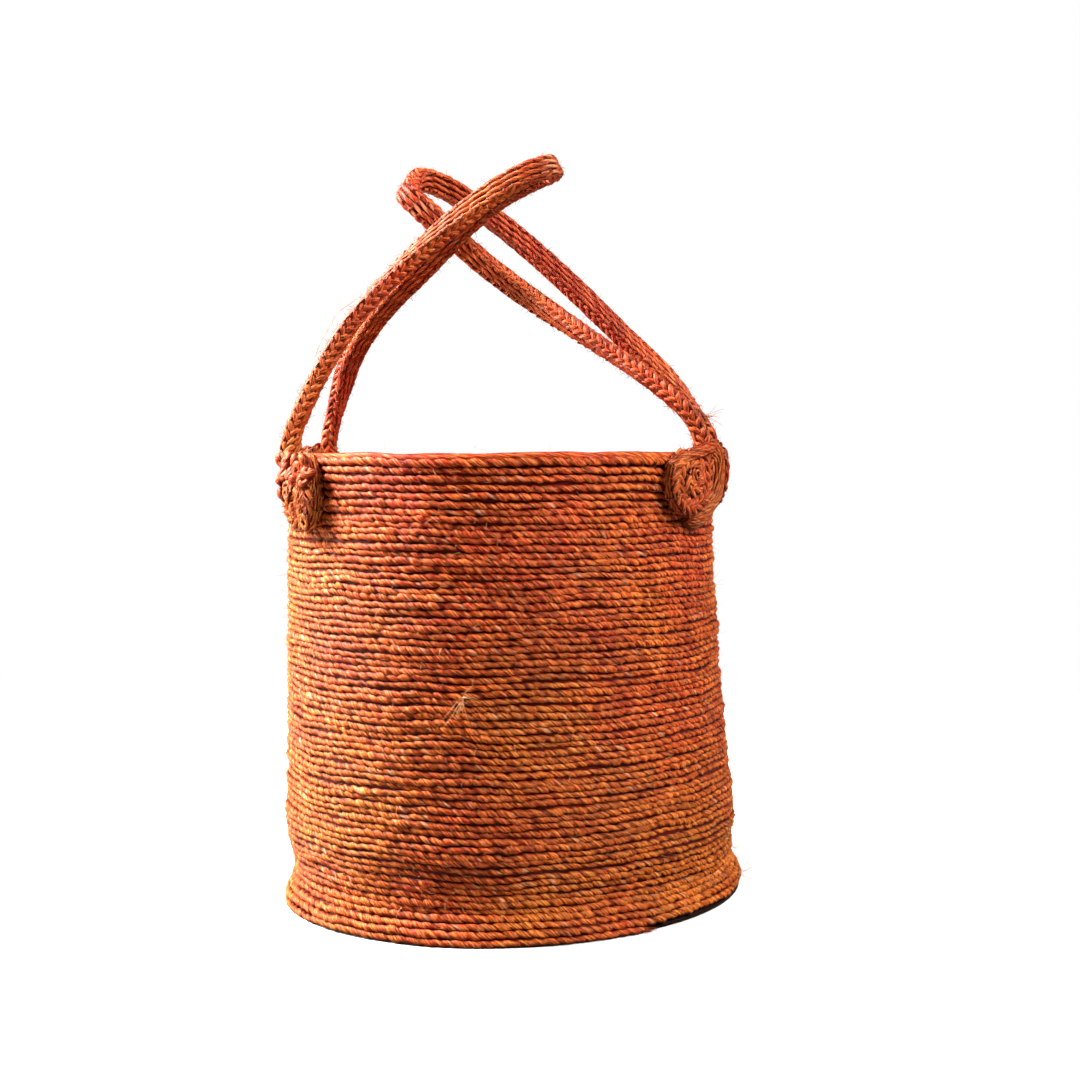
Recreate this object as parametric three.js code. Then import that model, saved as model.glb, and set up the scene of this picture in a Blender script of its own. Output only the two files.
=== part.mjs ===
// Jute bin with two plaited loop handles.
// Millimetres, +Z up, the front faces -Y. The origin is on the floor, under the middle of the base.
import * as THREE from 'three';

// The shell: one long cord wound upward in rows, drawn as its outer shape
const CORD_THICKNESS = 5;
const ROW_PRESS = 0.34;
const WALL_HEIGHT = 303.7;
const BASE_RADIUS = 164.5;
const WAIST_RADIUS = 156;
const WAIST_HEIGHT = 24;
const BELLY_RADIUS = 160;
const BELLY_HEIGHT = 60;
const RIM_RADIUS = 151.5;
// The bin leans a little: its rim sits left of its base, and its base is an oval set askew
const RIM_SHIFT = -12.5;
const BASE_SKEW = 0.13;
// The lowest row starts here and climbs one pitch on its way round, leaving a step
const TAIL_AZIMUTH = -55;
const TAIL_STEP_WIDTH = 0.4;

// The thicker cord that closes the top row
const RIM_CORD_HEIGHT = 8;
const RIM_CORD_PROUD = 1;

// The plait coiled flat against the wall under each handle foot
const COIL_PLAIT_WIDTH = 11;
const COIL_PLAIT_DEPTH = 8.5;
const COIL_RADIUS = 22;
const COIL_TURNS = 1.25;
const COIL_SPACING = 1.2;
const COIL_DROP = 15;
const COIL_END_RISE = 7.2;
const LONG_COIL_STRETCH = 1.25;
const LONG_COIL_LEAN = 0.2;
const LONG_COIL_DROP = 21;

// The handles: plaited straps, each closed into a narrow loop at its tip
const STRAP_WIDTH = 15;
const STRAP_THICKNESS = 12;
const STRAP_CHAMFER = 2.5;
const FOOT_OUTSET = 4;
const LOOP_HOLE = 19;
const HANDLE_CLEARANCE = 9;
const RIGHT_FRONT_LANE = 8;
const LEFT_TIP_PAST_CENTRE = 36.5;
const LEFT_TIP_RISE = 182.5;
const RIGHT_TIP_PAST_CENTRE = 66.5;
const RIGHT_TIP_RISE = 179.5;
const FOOT_ALIGN_LENGTH = 45;
// How far toward the tip's own plane a leg has moved at its last bend
const TIP_TURN_SHARE = 0.3;
// Degrees of the rounding at a foot's end
const FOOT_ROUNDING = 80;

// The twine that sews each coil to the wall
const TWINE_DIAMETER = 1.4;
const STITCH_TURN_SHARES = [0.13, 0.4];
// A stitch sweeps this far round the plait, in degrees, from just inside the wall
const STITCH_START = -35;
const STITCH_SWEEP = 125;

// Gap between pieces that touch
const CLEARANCE = 0.3;

// Facets
const WALL_SEGMENTS = 72;
const WALL_UPPER_STEPS = 3;
const RIM_CORD_SIDES = 8;
const COIL_STEPS = 24;
const COIL_ENTRY_STEPS = 3;
const COIL_SIDES = 6;
const STRAP_STEPS = 64;
const STRAP_LENGTH_SAMPLES = 2000;
const NORMAL_WINDOW = 6;
const FOOT_STEPS = 3;
const TWINE_STEPS = 8;
const TWINE_SIDES = 6;

const JUTE = { wall: 0xc8763c, mat: 0x8a5530, handle: 0xb95a33, twine: 0xa8623a };

const ROW_PITCH = CORD_THICKNESS - ROW_PRESS;
const RIM_TOP = WALL_HEIGHT + CLEARANCE + RIM_CORD_HEIGHT;
const COIL_OFFSET = RIM_CORD_PROUD + CLEARANCE + COIL_PLAIT_DEPTH / 2;
const COIL_PITCH = COIL_PLAIT_WIDTH + COIL_SPACING;
const COIL_TOP = RIM_TOP + COIL_END_RISE;
const HINGE_HEIGHT = COIL_TOP + CLEARANCE + STRAP_THICKNESS / 2;
const HINGE_RADIUS = RIM_RADIUS + FOOT_OUTSET;
const LOOP_SPREAD = STRAP_WIDTH + LOOP_HOLE;
const LEFT_BACK_LANE = RIGHT_FRONT_LANE - STRAP_WIDTH - HANDLE_CLEARANCE;

const radians = THREE.MathUtils.degToRad;

const group = new THREE.Group();

function addPiece(name, geometry, color) {
  geometry.computeVertexNormals();
  const material = new THREE.MeshStandardMaterial({ color, roughness: 0.95, metalness: 0 });
  const mesh = new THREE.Mesh(geometry, material);
  mesh.name = name;
  group.add(mesh);
}

// Joins rings of points into one closed solid: a hoop where the last ring meets the first one,
// or a bar with flat ends.
function loft(rings, isHoop) {
  const sides = rings[0].length;
  const spans = isHoop ? rings.length : rings.length - 1;
  const index = [];
  for (let ring = 0; ring < spans; ring += 1) {
    const next = (ring + 1) % rings.length;
    for (let side = 0; side < sides; side += 1) {
      const turn = (side + 1) % sides;
      const a = ring * sides + side;
      const b = ring * sides + turn;
      const c = next * sides + turn;
      const d = next * sides + side;
      index.push(a, b, c, a, c, d);
    }
  }
  if (!isHoop) {
    const last = (rings.length - 1) * sides;
    for (let side = 1; side < sides - 1; side += 1) {
      index.push(0, side + 1, side);
      index.push(last, last + side, last + side + 1);
    }
  }
  const points = rings.flat();
  if (signedVolume(points, index) < 0) {
    index.reverse();
  }
  const geometry = new THREE.BufferGeometry();
  geometry.setFromPoints(points);
  geometry.setIndex(index);
  return geometry;
}

function signedVolume(points, index) {
  let volume = 0;
  for (let i = 0; i < index.length; i += 3) {
    const [a, b, c] = [points[index[i]], points[index[i + 1]], points[index[i + 2]]];
    volume += a.dot(new THREE.Vector3().crossVectors(b, c)) / 6;
  }
  return volume;
}

// Shape of the shell
// Outer radius at a height: in to the waist, out to the belly, then slowly in to the rim.
function shellRadius(height) {
  const { smoothstep, lerp, clamp } = THREE.MathUtils;
  if (height < WAIST_HEIGHT) {
    return lerp(BASE_RADIUS, WAIST_RADIUS, smoothstep(height, 0, WAIST_HEIGHT));
  }
  if (height < BELLY_HEIGHT) {
    return lerp(WAIST_RADIUS, BELLY_RADIUS, smoothstep(height, WAIST_HEIGHT, BELLY_HEIGHT));
  }
  const rise = clamp((height - BELLY_HEIGHT) / (RIM_TOP - BELLY_HEIGHT), 0, 1);
  return lerp(BELLY_RADIUS, RIM_RADIUS, rise * (2 - rise));
}

// A point of the shell, an azimuth in degrees from +X, moved outward by an offset.
function shellPoint(azimuth, height, offset) {
  const rise = THREE.MathUtils.clamp(height / RIM_TOP, 0, 1);
  const radius = shellRadius(height) + offset;
  const y = radius * Math.sin(radians(azimuth));
  const centre = RIM_SHIFT * Math.sin((rise * Math.PI) / 2);
  const skew = BASE_SKEW * (1 - rise);
  return new THREE.Vector3(centre + radius * Math.cos(radians(azimuth)) + skew * y, y, height);
}

// Heights at which the wall's outline has a point, above its climbing lower edge. The first is level
// with the top of the base mat.
function wallHeights() {
  const flare = (CORD_THICKNESS + WAIST_HEIGHT) / 2;
  const bulge = (WAIST_HEIGHT + BELLY_HEIGHT) / 2;
  const heights = [CORD_THICKNESS, flare, WAIST_HEIGHT, bulge, BELLY_HEIGHT];
  for (let step = 1; step <= WALL_UPPER_STEPS; step += 1) {
    heights.push(BELLY_HEIGHT + ((WALL_HEIGHT - BELLY_HEIGHT) * step) / WALL_UPPER_STEPS);
  }
  return heights;
}

function addWall() {
  const turns = [];
  for (let segment = 0; segment < WALL_SEGMENTS; segment += 1) {
    turns.push((360 * segment) / WALL_SEGMENTS);
  }
  turns.push(360 - TAIL_STEP_WIDTH);
  const rings = turns.map((turn) => {
    const azimuth = TAIL_AZIMUTH - turn;
    const heights = [(ROW_PITCH * turn) / 360, ...wallHeights()];
    const outer = heights.map((height) => shellPoint(azimuth, height, 0));
    const inner = heights.map((height) => shellPoint(azimuth, height, -CORD_THICKNESS));
    return [...outer, ...inner.reverse()];
  });
  addPiece('wall_coil', loft(rings, true), JUTE.wall);
}

function addRimCord() {
  const middle = RIM_TOP - RIM_CORD_HEIGHT / 2;
  const halfWidth = CORD_THICKNESS / 2 + RIM_CORD_PROUD;
  const halfHeight = RIM_CORD_HEIGHT / 2;
  const swell = 1 / Math.cos(Math.PI / RIM_CORD_SIDES);
  const rings = [];
  for (let segment = 0; segment < WALL_SEGMENTS; segment += 1) {
    const azimuth = (360 * segment) / WALL_SEGMENTS;
    const ring = [];
    for (let corner = 0; corner < RIM_CORD_SIDES; corner += 1) {
      const angle = radians((360 * (corner + 0.5)) / RIM_CORD_SIDES);
      const across = halfWidth * swell * Math.cos(angle) - CORD_THICKNESS / 2;
      const height = middle + halfHeight * swell * Math.sin(angle);
      ring.push(shellPoint(azimuth, height, across));
    }
    rings.push(ring);
  }
  addPiece('rim_cord', loft(rings, true), JUTE.wall);
}

// The flat mat inside the lowest rows. Its underside is the face that the bin stands on.
function addBaseMat() {
  const inset = -(CORD_THICKNESS + CLEARANCE);
  const outline = [];
  for (let segment = 0; segment < WALL_SEGMENTS; segment += 1) {
    const point = shellPoint((360 * segment) / WALL_SEGMENTS, CORD_THICKNESS, inset);
    outline.push(new THREE.Vector2(point.x, point.y));
  }
  const settings = { depth: CORD_THICKNESS, bevelEnabled: false };
  const geometry = new THREE.ExtrudeGeometry(new THREE.Shape(outline), settings);
  addPiece('base_mat', geometry, JUTE.mat);
}

// The feet, as azimuths on the rim, and the way that each one's coil turns toward the front
const FEET = {
  left_front: { azimuth: 206.5, forward: 1, drop: LONG_COIL_DROP, isLong: true },
  left_back: { azimuth: 148.7, forward: 1, drop: COIL_DROP, isLong: false },
  right_front: { azimuth: -28.5, forward: -1, drop: COIL_DROP, isLong: false },
  right_back: { azimuth: 11.5, forward: -1, drop: COIL_DROP, isLong: false },
};

function hingePoint(foot) {
  return shellPoint(foot.azimuth, RIM_TOP, HINGE_RADIUS - RIM_RADIUS).setZ(HINGE_HEIGHT);
}

// A point of a coil's flat pattern laid on the wall: along is toward the front, up is +Z.
function coilPoint(foot, along, up, outward) {
  const reach = RIM_RADIUS + COIL_OFFSET;
  const middle = foot.azimuth + foot.forward * THREE.MathUtils.radToDeg(COIL_RADIUS / reach);
  const stretch = foot.isLong ? LONG_COIL_STRETCH : 1;
  const lean = foot.isLong ? LONG_COIL_LEAN : 0;
  const sideways = along - lean * Math.min(up, 0);
  const azimuth = middle + foot.forward * THREE.MathUtils.radToDeg(sideways / reach);
  const height = RIM_TOP - foot.drop + stretch * up;
  return shellPoint(azimuth, Math.min(height, RIM_TOP), COIL_OFFSET + outward).setZ(height);
}

// Centreline of a coil's flat pattern: down from the handle's foot, then round and inward.
function coilPattern(foot) {
  const stretch = foot.isLong ? LONG_COIL_STRETCH : 1;
  const entryTop = (COIL_TOP - RIM_TOP + foot.drop) / stretch;
  const pattern = [];
  for (let step = 0; step < COIL_ENTRY_STEPS; step += 1) {
    pattern.push(new THREE.Vector2(-COIL_RADIUS, entryTop * (1 - step / COIL_ENTRY_STEPS)));
  }
  const steps = Math.round(COIL_TURNS * COIL_STEPS);
  for (let step = 0; step <= steps; step += 1) {
    const turn = (COIL_TURNS * step) / steps;
    const radius = COIL_RADIUS - COIL_PITCH * turn;
    const angle = Math.PI + 2 * Math.PI * turn;
    pattern.push(new THREE.Vector2(radius * Math.cos(angle), radius * Math.sin(angle)));
  }
  return pattern;
}

function patternNormal(pattern, step) {
  const before = pattern[Math.max(step - 1, 0)];
  const after = pattern[Math.min(step + 1, pattern.length - 1)];
  const run = after.clone().sub(before).normalize();
  return new THREE.Vector2(run.y, -run.x);
}

function coilRings(foot) {
  const pattern = coilPattern(foot);
  return pattern.map((point, step) => {
    const normal = patternNormal(pattern, step);
    const ring = [];
    for (let side = 0; side < COIL_SIDES; side += 1) {
      const angle = (2 * Math.PI * side) / COIL_SIDES;
      const across = (COIL_PLAIT_WIDTH / 2) * Math.cos(angle);
      const swell = 1 / Math.cos(Math.PI / COIL_SIDES);
      const outward = (COIL_PLAIT_DEPTH / 2) * swell * Math.sin(angle);
      const along = point.x + normal.x * across;
      const up = point.y + normal.y * across;
      ring.push(coilPoint(foot, along, up, outward));
    }
    return ring;
  });
}

// Least distance between a coil's turns, taken between the edges of rings half a turn or more apart.
function leastGap(rings) {
  let least = Infinity;
  const apart = COIL_STEPS / 2;
  for (let i = 0; i < rings.length; i += 1) {
    for (let j = i + apart; j < rings.length; j += 1) {
      for (const p of rings[i]) {
        for (const q of rings[j]) {
          least = Math.min(least, p.distanceTo(q));
        }
      }
    }
  }
  return least;
}

function addCoil(name, foot) {
  const rings = coilRings(foot);
  console.log(`${name}: least gap between its turns ${leastGap(rings).toFixed(2)} mm`);
  addPiece(name, loft(rings, false), JUTE.handle);
}

// A short hoop of twine over the outer side of a coil's lowest stretch, into the wall.
function addStitch(name, foot, turnShare) {
  const radius = COIL_RADIUS - COIL_PITCH * turnShare;
  const angle = Math.PI + 2 * Math.PI * turnShare;
  const axisOut = new THREE.Vector2(Math.cos(angle), Math.sin(angle));
  const spare = CLEARANCE + TWINE_DIAMETER / 2;
  const halfAcross = COIL_PLAIT_WIDTH / 2 + spare;
  const halfDepth = COIL_PLAIT_DEPTH / 2 / Math.cos(Math.PI / COIL_SIDES) + spare;
  const rings = [];
  for (let step = 0; step <= TWINE_STEPS; step += 1) {
    const sweep = radians(STITCH_START + (STITCH_SWEEP * step) / TWINE_STEPS);
    const ring = [];
    for (let side = 0; side < TWINE_SIDES; side += 1) {
      const turn = (2 * Math.PI * side) / TWINE_SIDES;
      const swell = (TWINE_DIAMETER / 2) * Math.cos(turn);
      const shift = (TWINE_DIAMETER / 2) * Math.sin(turn);
      const across = radius + (halfAcross + swell) * Math.cos(sweep);
      const along = axisOut.x * across - axisOut.y * shift;
      const up = axisOut.y * across + axisOut.x * shift;
      ring.push(coilPoint(foot, along, up, (halfDepth + swell) * Math.sin(sweep)));
    }
    rings.push(ring);
  }
  addPiece(name, loft(rings, false), JUTE.twine);
}

// Handle legs: shares of the way from the foot to the tip, sideways, upward and front to back
const LEGS = {
  leftFront: [[0.094, 0.197, 0.14], [0.237, 0.424, 0.53], [0.455, 0.653, 0.93], [0.744, 0.88, 1]],
  leftBack: [[0.045, 0.148, 0.06], [0.115, 0.309, 0.25], [0.236, 0.463, 0.51], [0.459, 0.645, 0.86],
    [0.73, 0.872, 1]],
  rightFront: [[0.053, 0.087, 0.03], [0.167, 0.202, 0.16], [0.36, 0.364, 0.5], [0.567, 0.535, 0.86],
    [0.756, 0.702, 1]],
  rightBack: [[0.11, 0.184, 0.1], [0.28, 0.392, 0.45], [0.565, 0.724, 1], [0.75, 0.905, 1]],
};
// The last stretch before the tip, where the strap turns over into its other leg
const LEFT_TURN = [[0.9, 0.967], [0.985, 0.997]];
const RIGHT_FRONT_TURN = [[0.93, 0.872], [0.995, 0.95]];
const RIGHT_BACK_TURN = [[0.9, 1.022], [0.975, 1.05]];

function legPoints(hinge, tip, lane, shares, turn) {
  const points = [hinge.clone()];
  for (const [side, rise, depth] of shares) {
    points.push(new THREE.Vector3(
      THREE.MathUtils.lerp(hinge.x, tip.x, side),
      THREE.MathUtils.lerp(hinge.y, lane, depth),
      THREE.MathUtils.lerp(hinge.z, tip.z, rise)));
  }
  const [before, corner] = turn;
  const inward = THREE.MathUtils.lerp(lane, tip.y, TIP_TURN_SHARE);
  for (const [share, y] of [[before, lane], [corner, inward]]) {
    points.push(new THREE.Vector3(
      THREE.MathUtils.lerp(hinge.x, tip.x, share[0]),
      y,
      THREE.MathUtils.lerp(hinge.z, tip.z, share[1])));
  }
  return points;
}

// Section of the strap in its own plane, width along the hinge.
function strapSection(flatness) {
  const w = STRAP_WIDTH / 2;
  const t = (STRAP_THICKNESS / 2) * flatness;
  const c = STRAP_CHAMFER;
  const k = c * flatness;
  return [[w, t - k], [w - c, t], [c - w, t], [-w, t - k], [-w, k - t], [c - w, -t], [w - c, -t], [w, k - t]];
}

function strapRing(centre, across, through, flatness) {
  return strapSection(flatness).map(([w, t]) => (
    centre.clone().addScaledVector(across, w).addScaledVector(through, t)));
}

// Face normal of the strap at each step: square to its run and to the front-to-back direction,
// averaged over neighbouring steps so that it carries on through the turn at the tip.
function faceNormals(tangents) {
  const half = tangents.length / 2;
  return tangents.map((unused, step) => {
    const sum = new THREE.Vector3();
    for (let other = step - NORMAL_WINDOW; other <= step + NORMAL_WINDOW; other += 1) {
      const near = THREE.MathUtils.clamp(other, 0, tangents.length - 1);
      const way = near < half ? 1 : -1;
      sum.x += way * tangents[near].z;
      sum.z -= way * tangents[near].x;
    }
    return sum.normalize();
  });
}

// Rounded end of a foot: half a cylinder about the hinge line.
function footRings(hinge, axis, through) {
  const down = new THREE.Vector3().crossVectors(axis, through).normalize();
  if (down.z > 0) {
    down.negate();
  }
  const rings = [];
  for (let step = FOOT_STEPS; step >= 1; step -= 1) {
    const angle = (step / FOOT_STEPS) * radians(FOOT_ROUNDING);
    const centre = hinge.clone().addScaledVector(down, (STRAP_THICKNESS / 2) * Math.sin(angle));
    rings.push(strapRing(centre, axis, through, Math.cos(angle)));
  }
  return rings;
}

function addHandle(name, frontLeg, backLeg, tip) {
  const points = [...frontLeg, tip, ...backLeg.reverse()];
  const path = new THREE.CatmullRomCurve3(points, false, 'centripetal');
  path.arcLengthDivisions = STRAP_LENGTH_SAMPLES;
  const length = path.getLength();
  const centres = path.getSpacedPoints(STRAP_STEPS);
  const tangents = centres.map((unused, step) => path.getTangentAt(step / STRAP_STEPS));
  const normals = faceNormals(tangents);
  const axis = centres[STRAP_STEPS].clone().sub(centres[0]).normalize();
  const frames = centres.map((centre, step) => {
    const nearestEnd = Math.min(step, STRAP_STEPS - step) * (length / STRAP_STEPS);
    const free = THREE.MathUtils.smoothstep(nearestEnd, 0, FOOT_ALIGN_LENGTH);
    const across = new THREE.Vector3().crossVectors(normals[step], tangents[step]).normalize();
    const way = across.dot(axis) < 0 ? -1 : 1;
    across.lerp(axis.clone().multiplyScalar(way), 1 - free).normalize();
    const through = new THREE.Vector3().crossVectors(tangents[step], across).normalize();
    return { centre, across, through };
  });
  const first = frames[0];
  const last = frames[STRAP_STEPS];
  const rings = [
    ...footRings(first.centre, first.across, first.through),
    ...frames.map((frame) => strapRing(frame.centre, frame.across, frame.through, 1)),
    ...footRings(last.centre, last.across, last.through).reverse(),
  ];
  addPiece(name, loft(rings, false), JUTE.handle);
}

function addLeftHandle() {
  const front = hingePoint(FEET.left_front);
  const back = hingePoint(FEET.left_back);
  const frontLane = LEFT_BACK_LANE - LOOP_SPREAD;
  const tip = new THREE.Vector3(
    RIM_SHIFT + LEFT_TIP_PAST_CENTRE, (frontLane + LEFT_BACK_LANE) / 2, HINGE_HEIGHT + LEFT_TIP_RISE);
  const frontLeg = legPoints(front, tip, frontLane, LEGS.leftFront, LEFT_TURN);
  const backLeg = legPoints(back, tip, LEFT_BACK_LANE, LEGS.leftBack, LEFT_TURN);
  addHandle('left_handle', frontLeg, backLeg, tip);
}

function addRightHandle() {
  const front = hingePoint(FEET.right_front);
  const back = hingePoint(FEET.right_back);
  const backLane = RIGHT_FRONT_LANE + LOOP_SPREAD;
  const tip = new THREE.Vector3(
    RIM_SHIFT - RIGHT_TIP_PAST_CENTRE, (RIGHT_FRONT_LANE + backLane) / 2, HINGE_HEIGHT + RIGHT_TIP_RISE);
  const frontLeg = legPoints(front, tip, RIGHT_FRONT_LANE, LEGS.rightFront, RIGHT_FRONT_TURN);
  const backLeg = legPoints(back, tip, backLane, LEGS.rightBack, RIGHT_BACK_TURN);
  addHandle('right_handle', frontLeg, backLeg, tip);
}

addBaseMat();
addWall();
addRimCord();
for (const [name, foot] of Object.entries(FEET)) {
  addCoil(`${name}_coil`, foot);
  STITCH_TURN_SHARES.forEach((share, number) => {
    addStitch(`${name}_stitch_${number + 1}`, foot, share);
  });
}
addLeftHandle();
addRightHandle();
group.userData.hinges = Object.fromEntries(
  Object.entries(FEET).map(([name, foot]) => [name, hingePoint(foot).toArray()]));

export default group;
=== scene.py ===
"""Jute bin with two plaited loop handles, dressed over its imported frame.

The bin is one long two-ply jute cord wound upward in rows, closed by a thicker rim cord. Each handle
is a plait that ends in a flat coil sewn to the wall. Everything is in metres, +Z up, the front
faces -Y.
"""

from __future__ import annotations

import logging
import math
from dataclasses import dataclass, field, replace
from itertools import product

import bmesh
import bpy
import numpy as np
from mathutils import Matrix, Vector


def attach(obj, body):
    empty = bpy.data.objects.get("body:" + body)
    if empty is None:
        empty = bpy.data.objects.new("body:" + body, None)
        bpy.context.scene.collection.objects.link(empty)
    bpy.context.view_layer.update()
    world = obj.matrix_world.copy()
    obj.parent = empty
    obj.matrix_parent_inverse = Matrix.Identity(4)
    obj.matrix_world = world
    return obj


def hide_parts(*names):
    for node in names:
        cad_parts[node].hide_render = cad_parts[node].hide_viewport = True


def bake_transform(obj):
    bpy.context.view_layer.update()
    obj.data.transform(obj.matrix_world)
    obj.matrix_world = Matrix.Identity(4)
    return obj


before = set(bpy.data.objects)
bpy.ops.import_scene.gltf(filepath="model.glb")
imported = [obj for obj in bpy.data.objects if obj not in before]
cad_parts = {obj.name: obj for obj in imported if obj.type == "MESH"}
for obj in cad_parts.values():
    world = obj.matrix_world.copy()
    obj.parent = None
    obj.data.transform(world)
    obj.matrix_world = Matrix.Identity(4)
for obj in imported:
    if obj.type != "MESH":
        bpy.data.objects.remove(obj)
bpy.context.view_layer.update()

log = logging.getLogger("jute_bin")

MM = 0.001
WALL_HEIGHT = 312 * MM


def linear(hex_colour: str) -> tuple[float, float, float, float]:
    """Turn an sRGB hex colour into the linear one that Blender's sockets hold.

    Args:
        hex_colour: Six hex digits, such as "c8763c".

    Returns:
        Linear red, green and blue, and an alpha of 1.
    """
    channels = [int(hex_colour[i : i + 2], 16) / 255 for i in (0, 2, 4)]
    red, green, blue = (c / 12.92 if c <= 0.04045 else ((c + 0.055) / 1.055) ** 2.4 for c in channels)
    return (red, green, blue, 1.0)


class NodeWork:
    """A node tree with a short method for each kind of node that is used often."""

    def __init__(self, tree: bpy.types.NodeTree) -> None:
        """Keep the tree."""
        self.tree = tree

    def add(self, kind: str, inputs: dict | None = None, **settings) -> bpy.types.Node:
        """Add a node, set its properties and fill or link its inputs.

        Args:
            kind: The node's type name.
            inputs: Socket name or index to a value, or to an output socket that is linked to it.
            **settings: The node's own properties.

        Returns:
            The new node.
        """
        node = self.tree.nodes.new(kind)
        for name, value in settings.items():
            setattr(node, name, value)
        for key, value in (inputs or {}).items():
            socket = node.inputs[key]
            if isinstance(value, bpy.types.NodeSocket):
                self.tree.links.new(value, socket)
            else:
                socket.default_value = value
        return node

    def math(self, operation: str, *values) -> bpy.types.NodeSocket:
        """Return the output of a Math node with these inputs."""
        return self.add("ShaderNodeMath", dict(enumerate(values)), operation=operation).outputs[0]

    def vector(self, operation: str, *values, output: int | str = 0,
               scale: object = None) -> bpy.types.NodeSocket:
        """Return an output of a Vector Math node with these inputs."""
        inputs = dict(enumerate(values))
        if scale is not None:
            inputs["Scale"] = scale
        return self.add("ShaderNodeVectorMath", inputs, operation=operation).outputs[output]

    def noise(self, inputs: dict, **settings) -> bpy.types.NodeSocket:
        """Return the value of a Noise Texture."""
        return self.add("ShaderNodeTexNoise", inputs, **settings).outputs["Fac"]

    def remap(self, value: bpy.types.NodeSocket, low: float, high: float, to_low: float = 0.0,
              to_high: float = 1.0, **settings) -> bpy.types.NodeSocket:
        """Return the value, taken from one range to another and held at its ends."""
        inputs = {"Value": value, "From Min": low, "From Max": high, "To Min": to_low, "To Max": to_high}
        return self.add("ShaderNodeMapRange", inputs, **settings).outputs["Result"]

    def mix(self, share: object, low: object, high: object, **settings) -> bpy.types.NodeSocket:
        """Return a mix of two colours."""
        node = self.add("ShaderNodeMix", {0: share, 6: low, 7: high}, data_type="RGBA", **settings)
        return node.outputs[2]

    def ramp(self, factor: bpy.types.NodeSocket, *stops: tuple[float, str]) -> bpy.types.NodeSocket:
        """Return the colour of a ramp whose stops are a position and an sRGB hex colour each."""
        node = self.add("ShaderNodeValToRGB", {"Fac": factor})
        elements = node.color_ramp.elements
        for element, (position, colour) in zip(elements, (stops[0], stops[-1])):
            element.position = position
            element.color = linear(colour)
        for position, colour in stops[1:-1]:
            elements.new(position).color = linear(colour)
        return node.outputs["Color"]


def blank_material(name: str) -> tuple[bpy.types.Material, NodeWork]:
    """Return a new material and its empty node tree."""
    made = bpy.data.materials.new(name)
    made.use_nodes = True
    made.node_tree.nodes.clear()
    return made, NodeWork(made.node_tree)


def put(name: str, data: bpy.types.ID) -> bpy.types.Object:
    """Put a new object with this data in the scene."""
    made = bpy.data.objects.new(name, data)
    bpy.context.scene.collection.objects.link(made)
    return made


@dataclass(frozen=True)
class Finish:
    """A material that is built when a piece first asks for it."""

    name: str

    def material(self) -> bpy.types.Material:
        """Return the material."""
        if self.name in bpy.data.materials:
            return bpy.data.materials[self.name]
        made, work = blank_material(self.name)
        work.add("ShaderNodeOutputMaterial", {"Surface": self.shader(work).outputs["BSDF"]})
        return made


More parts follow.
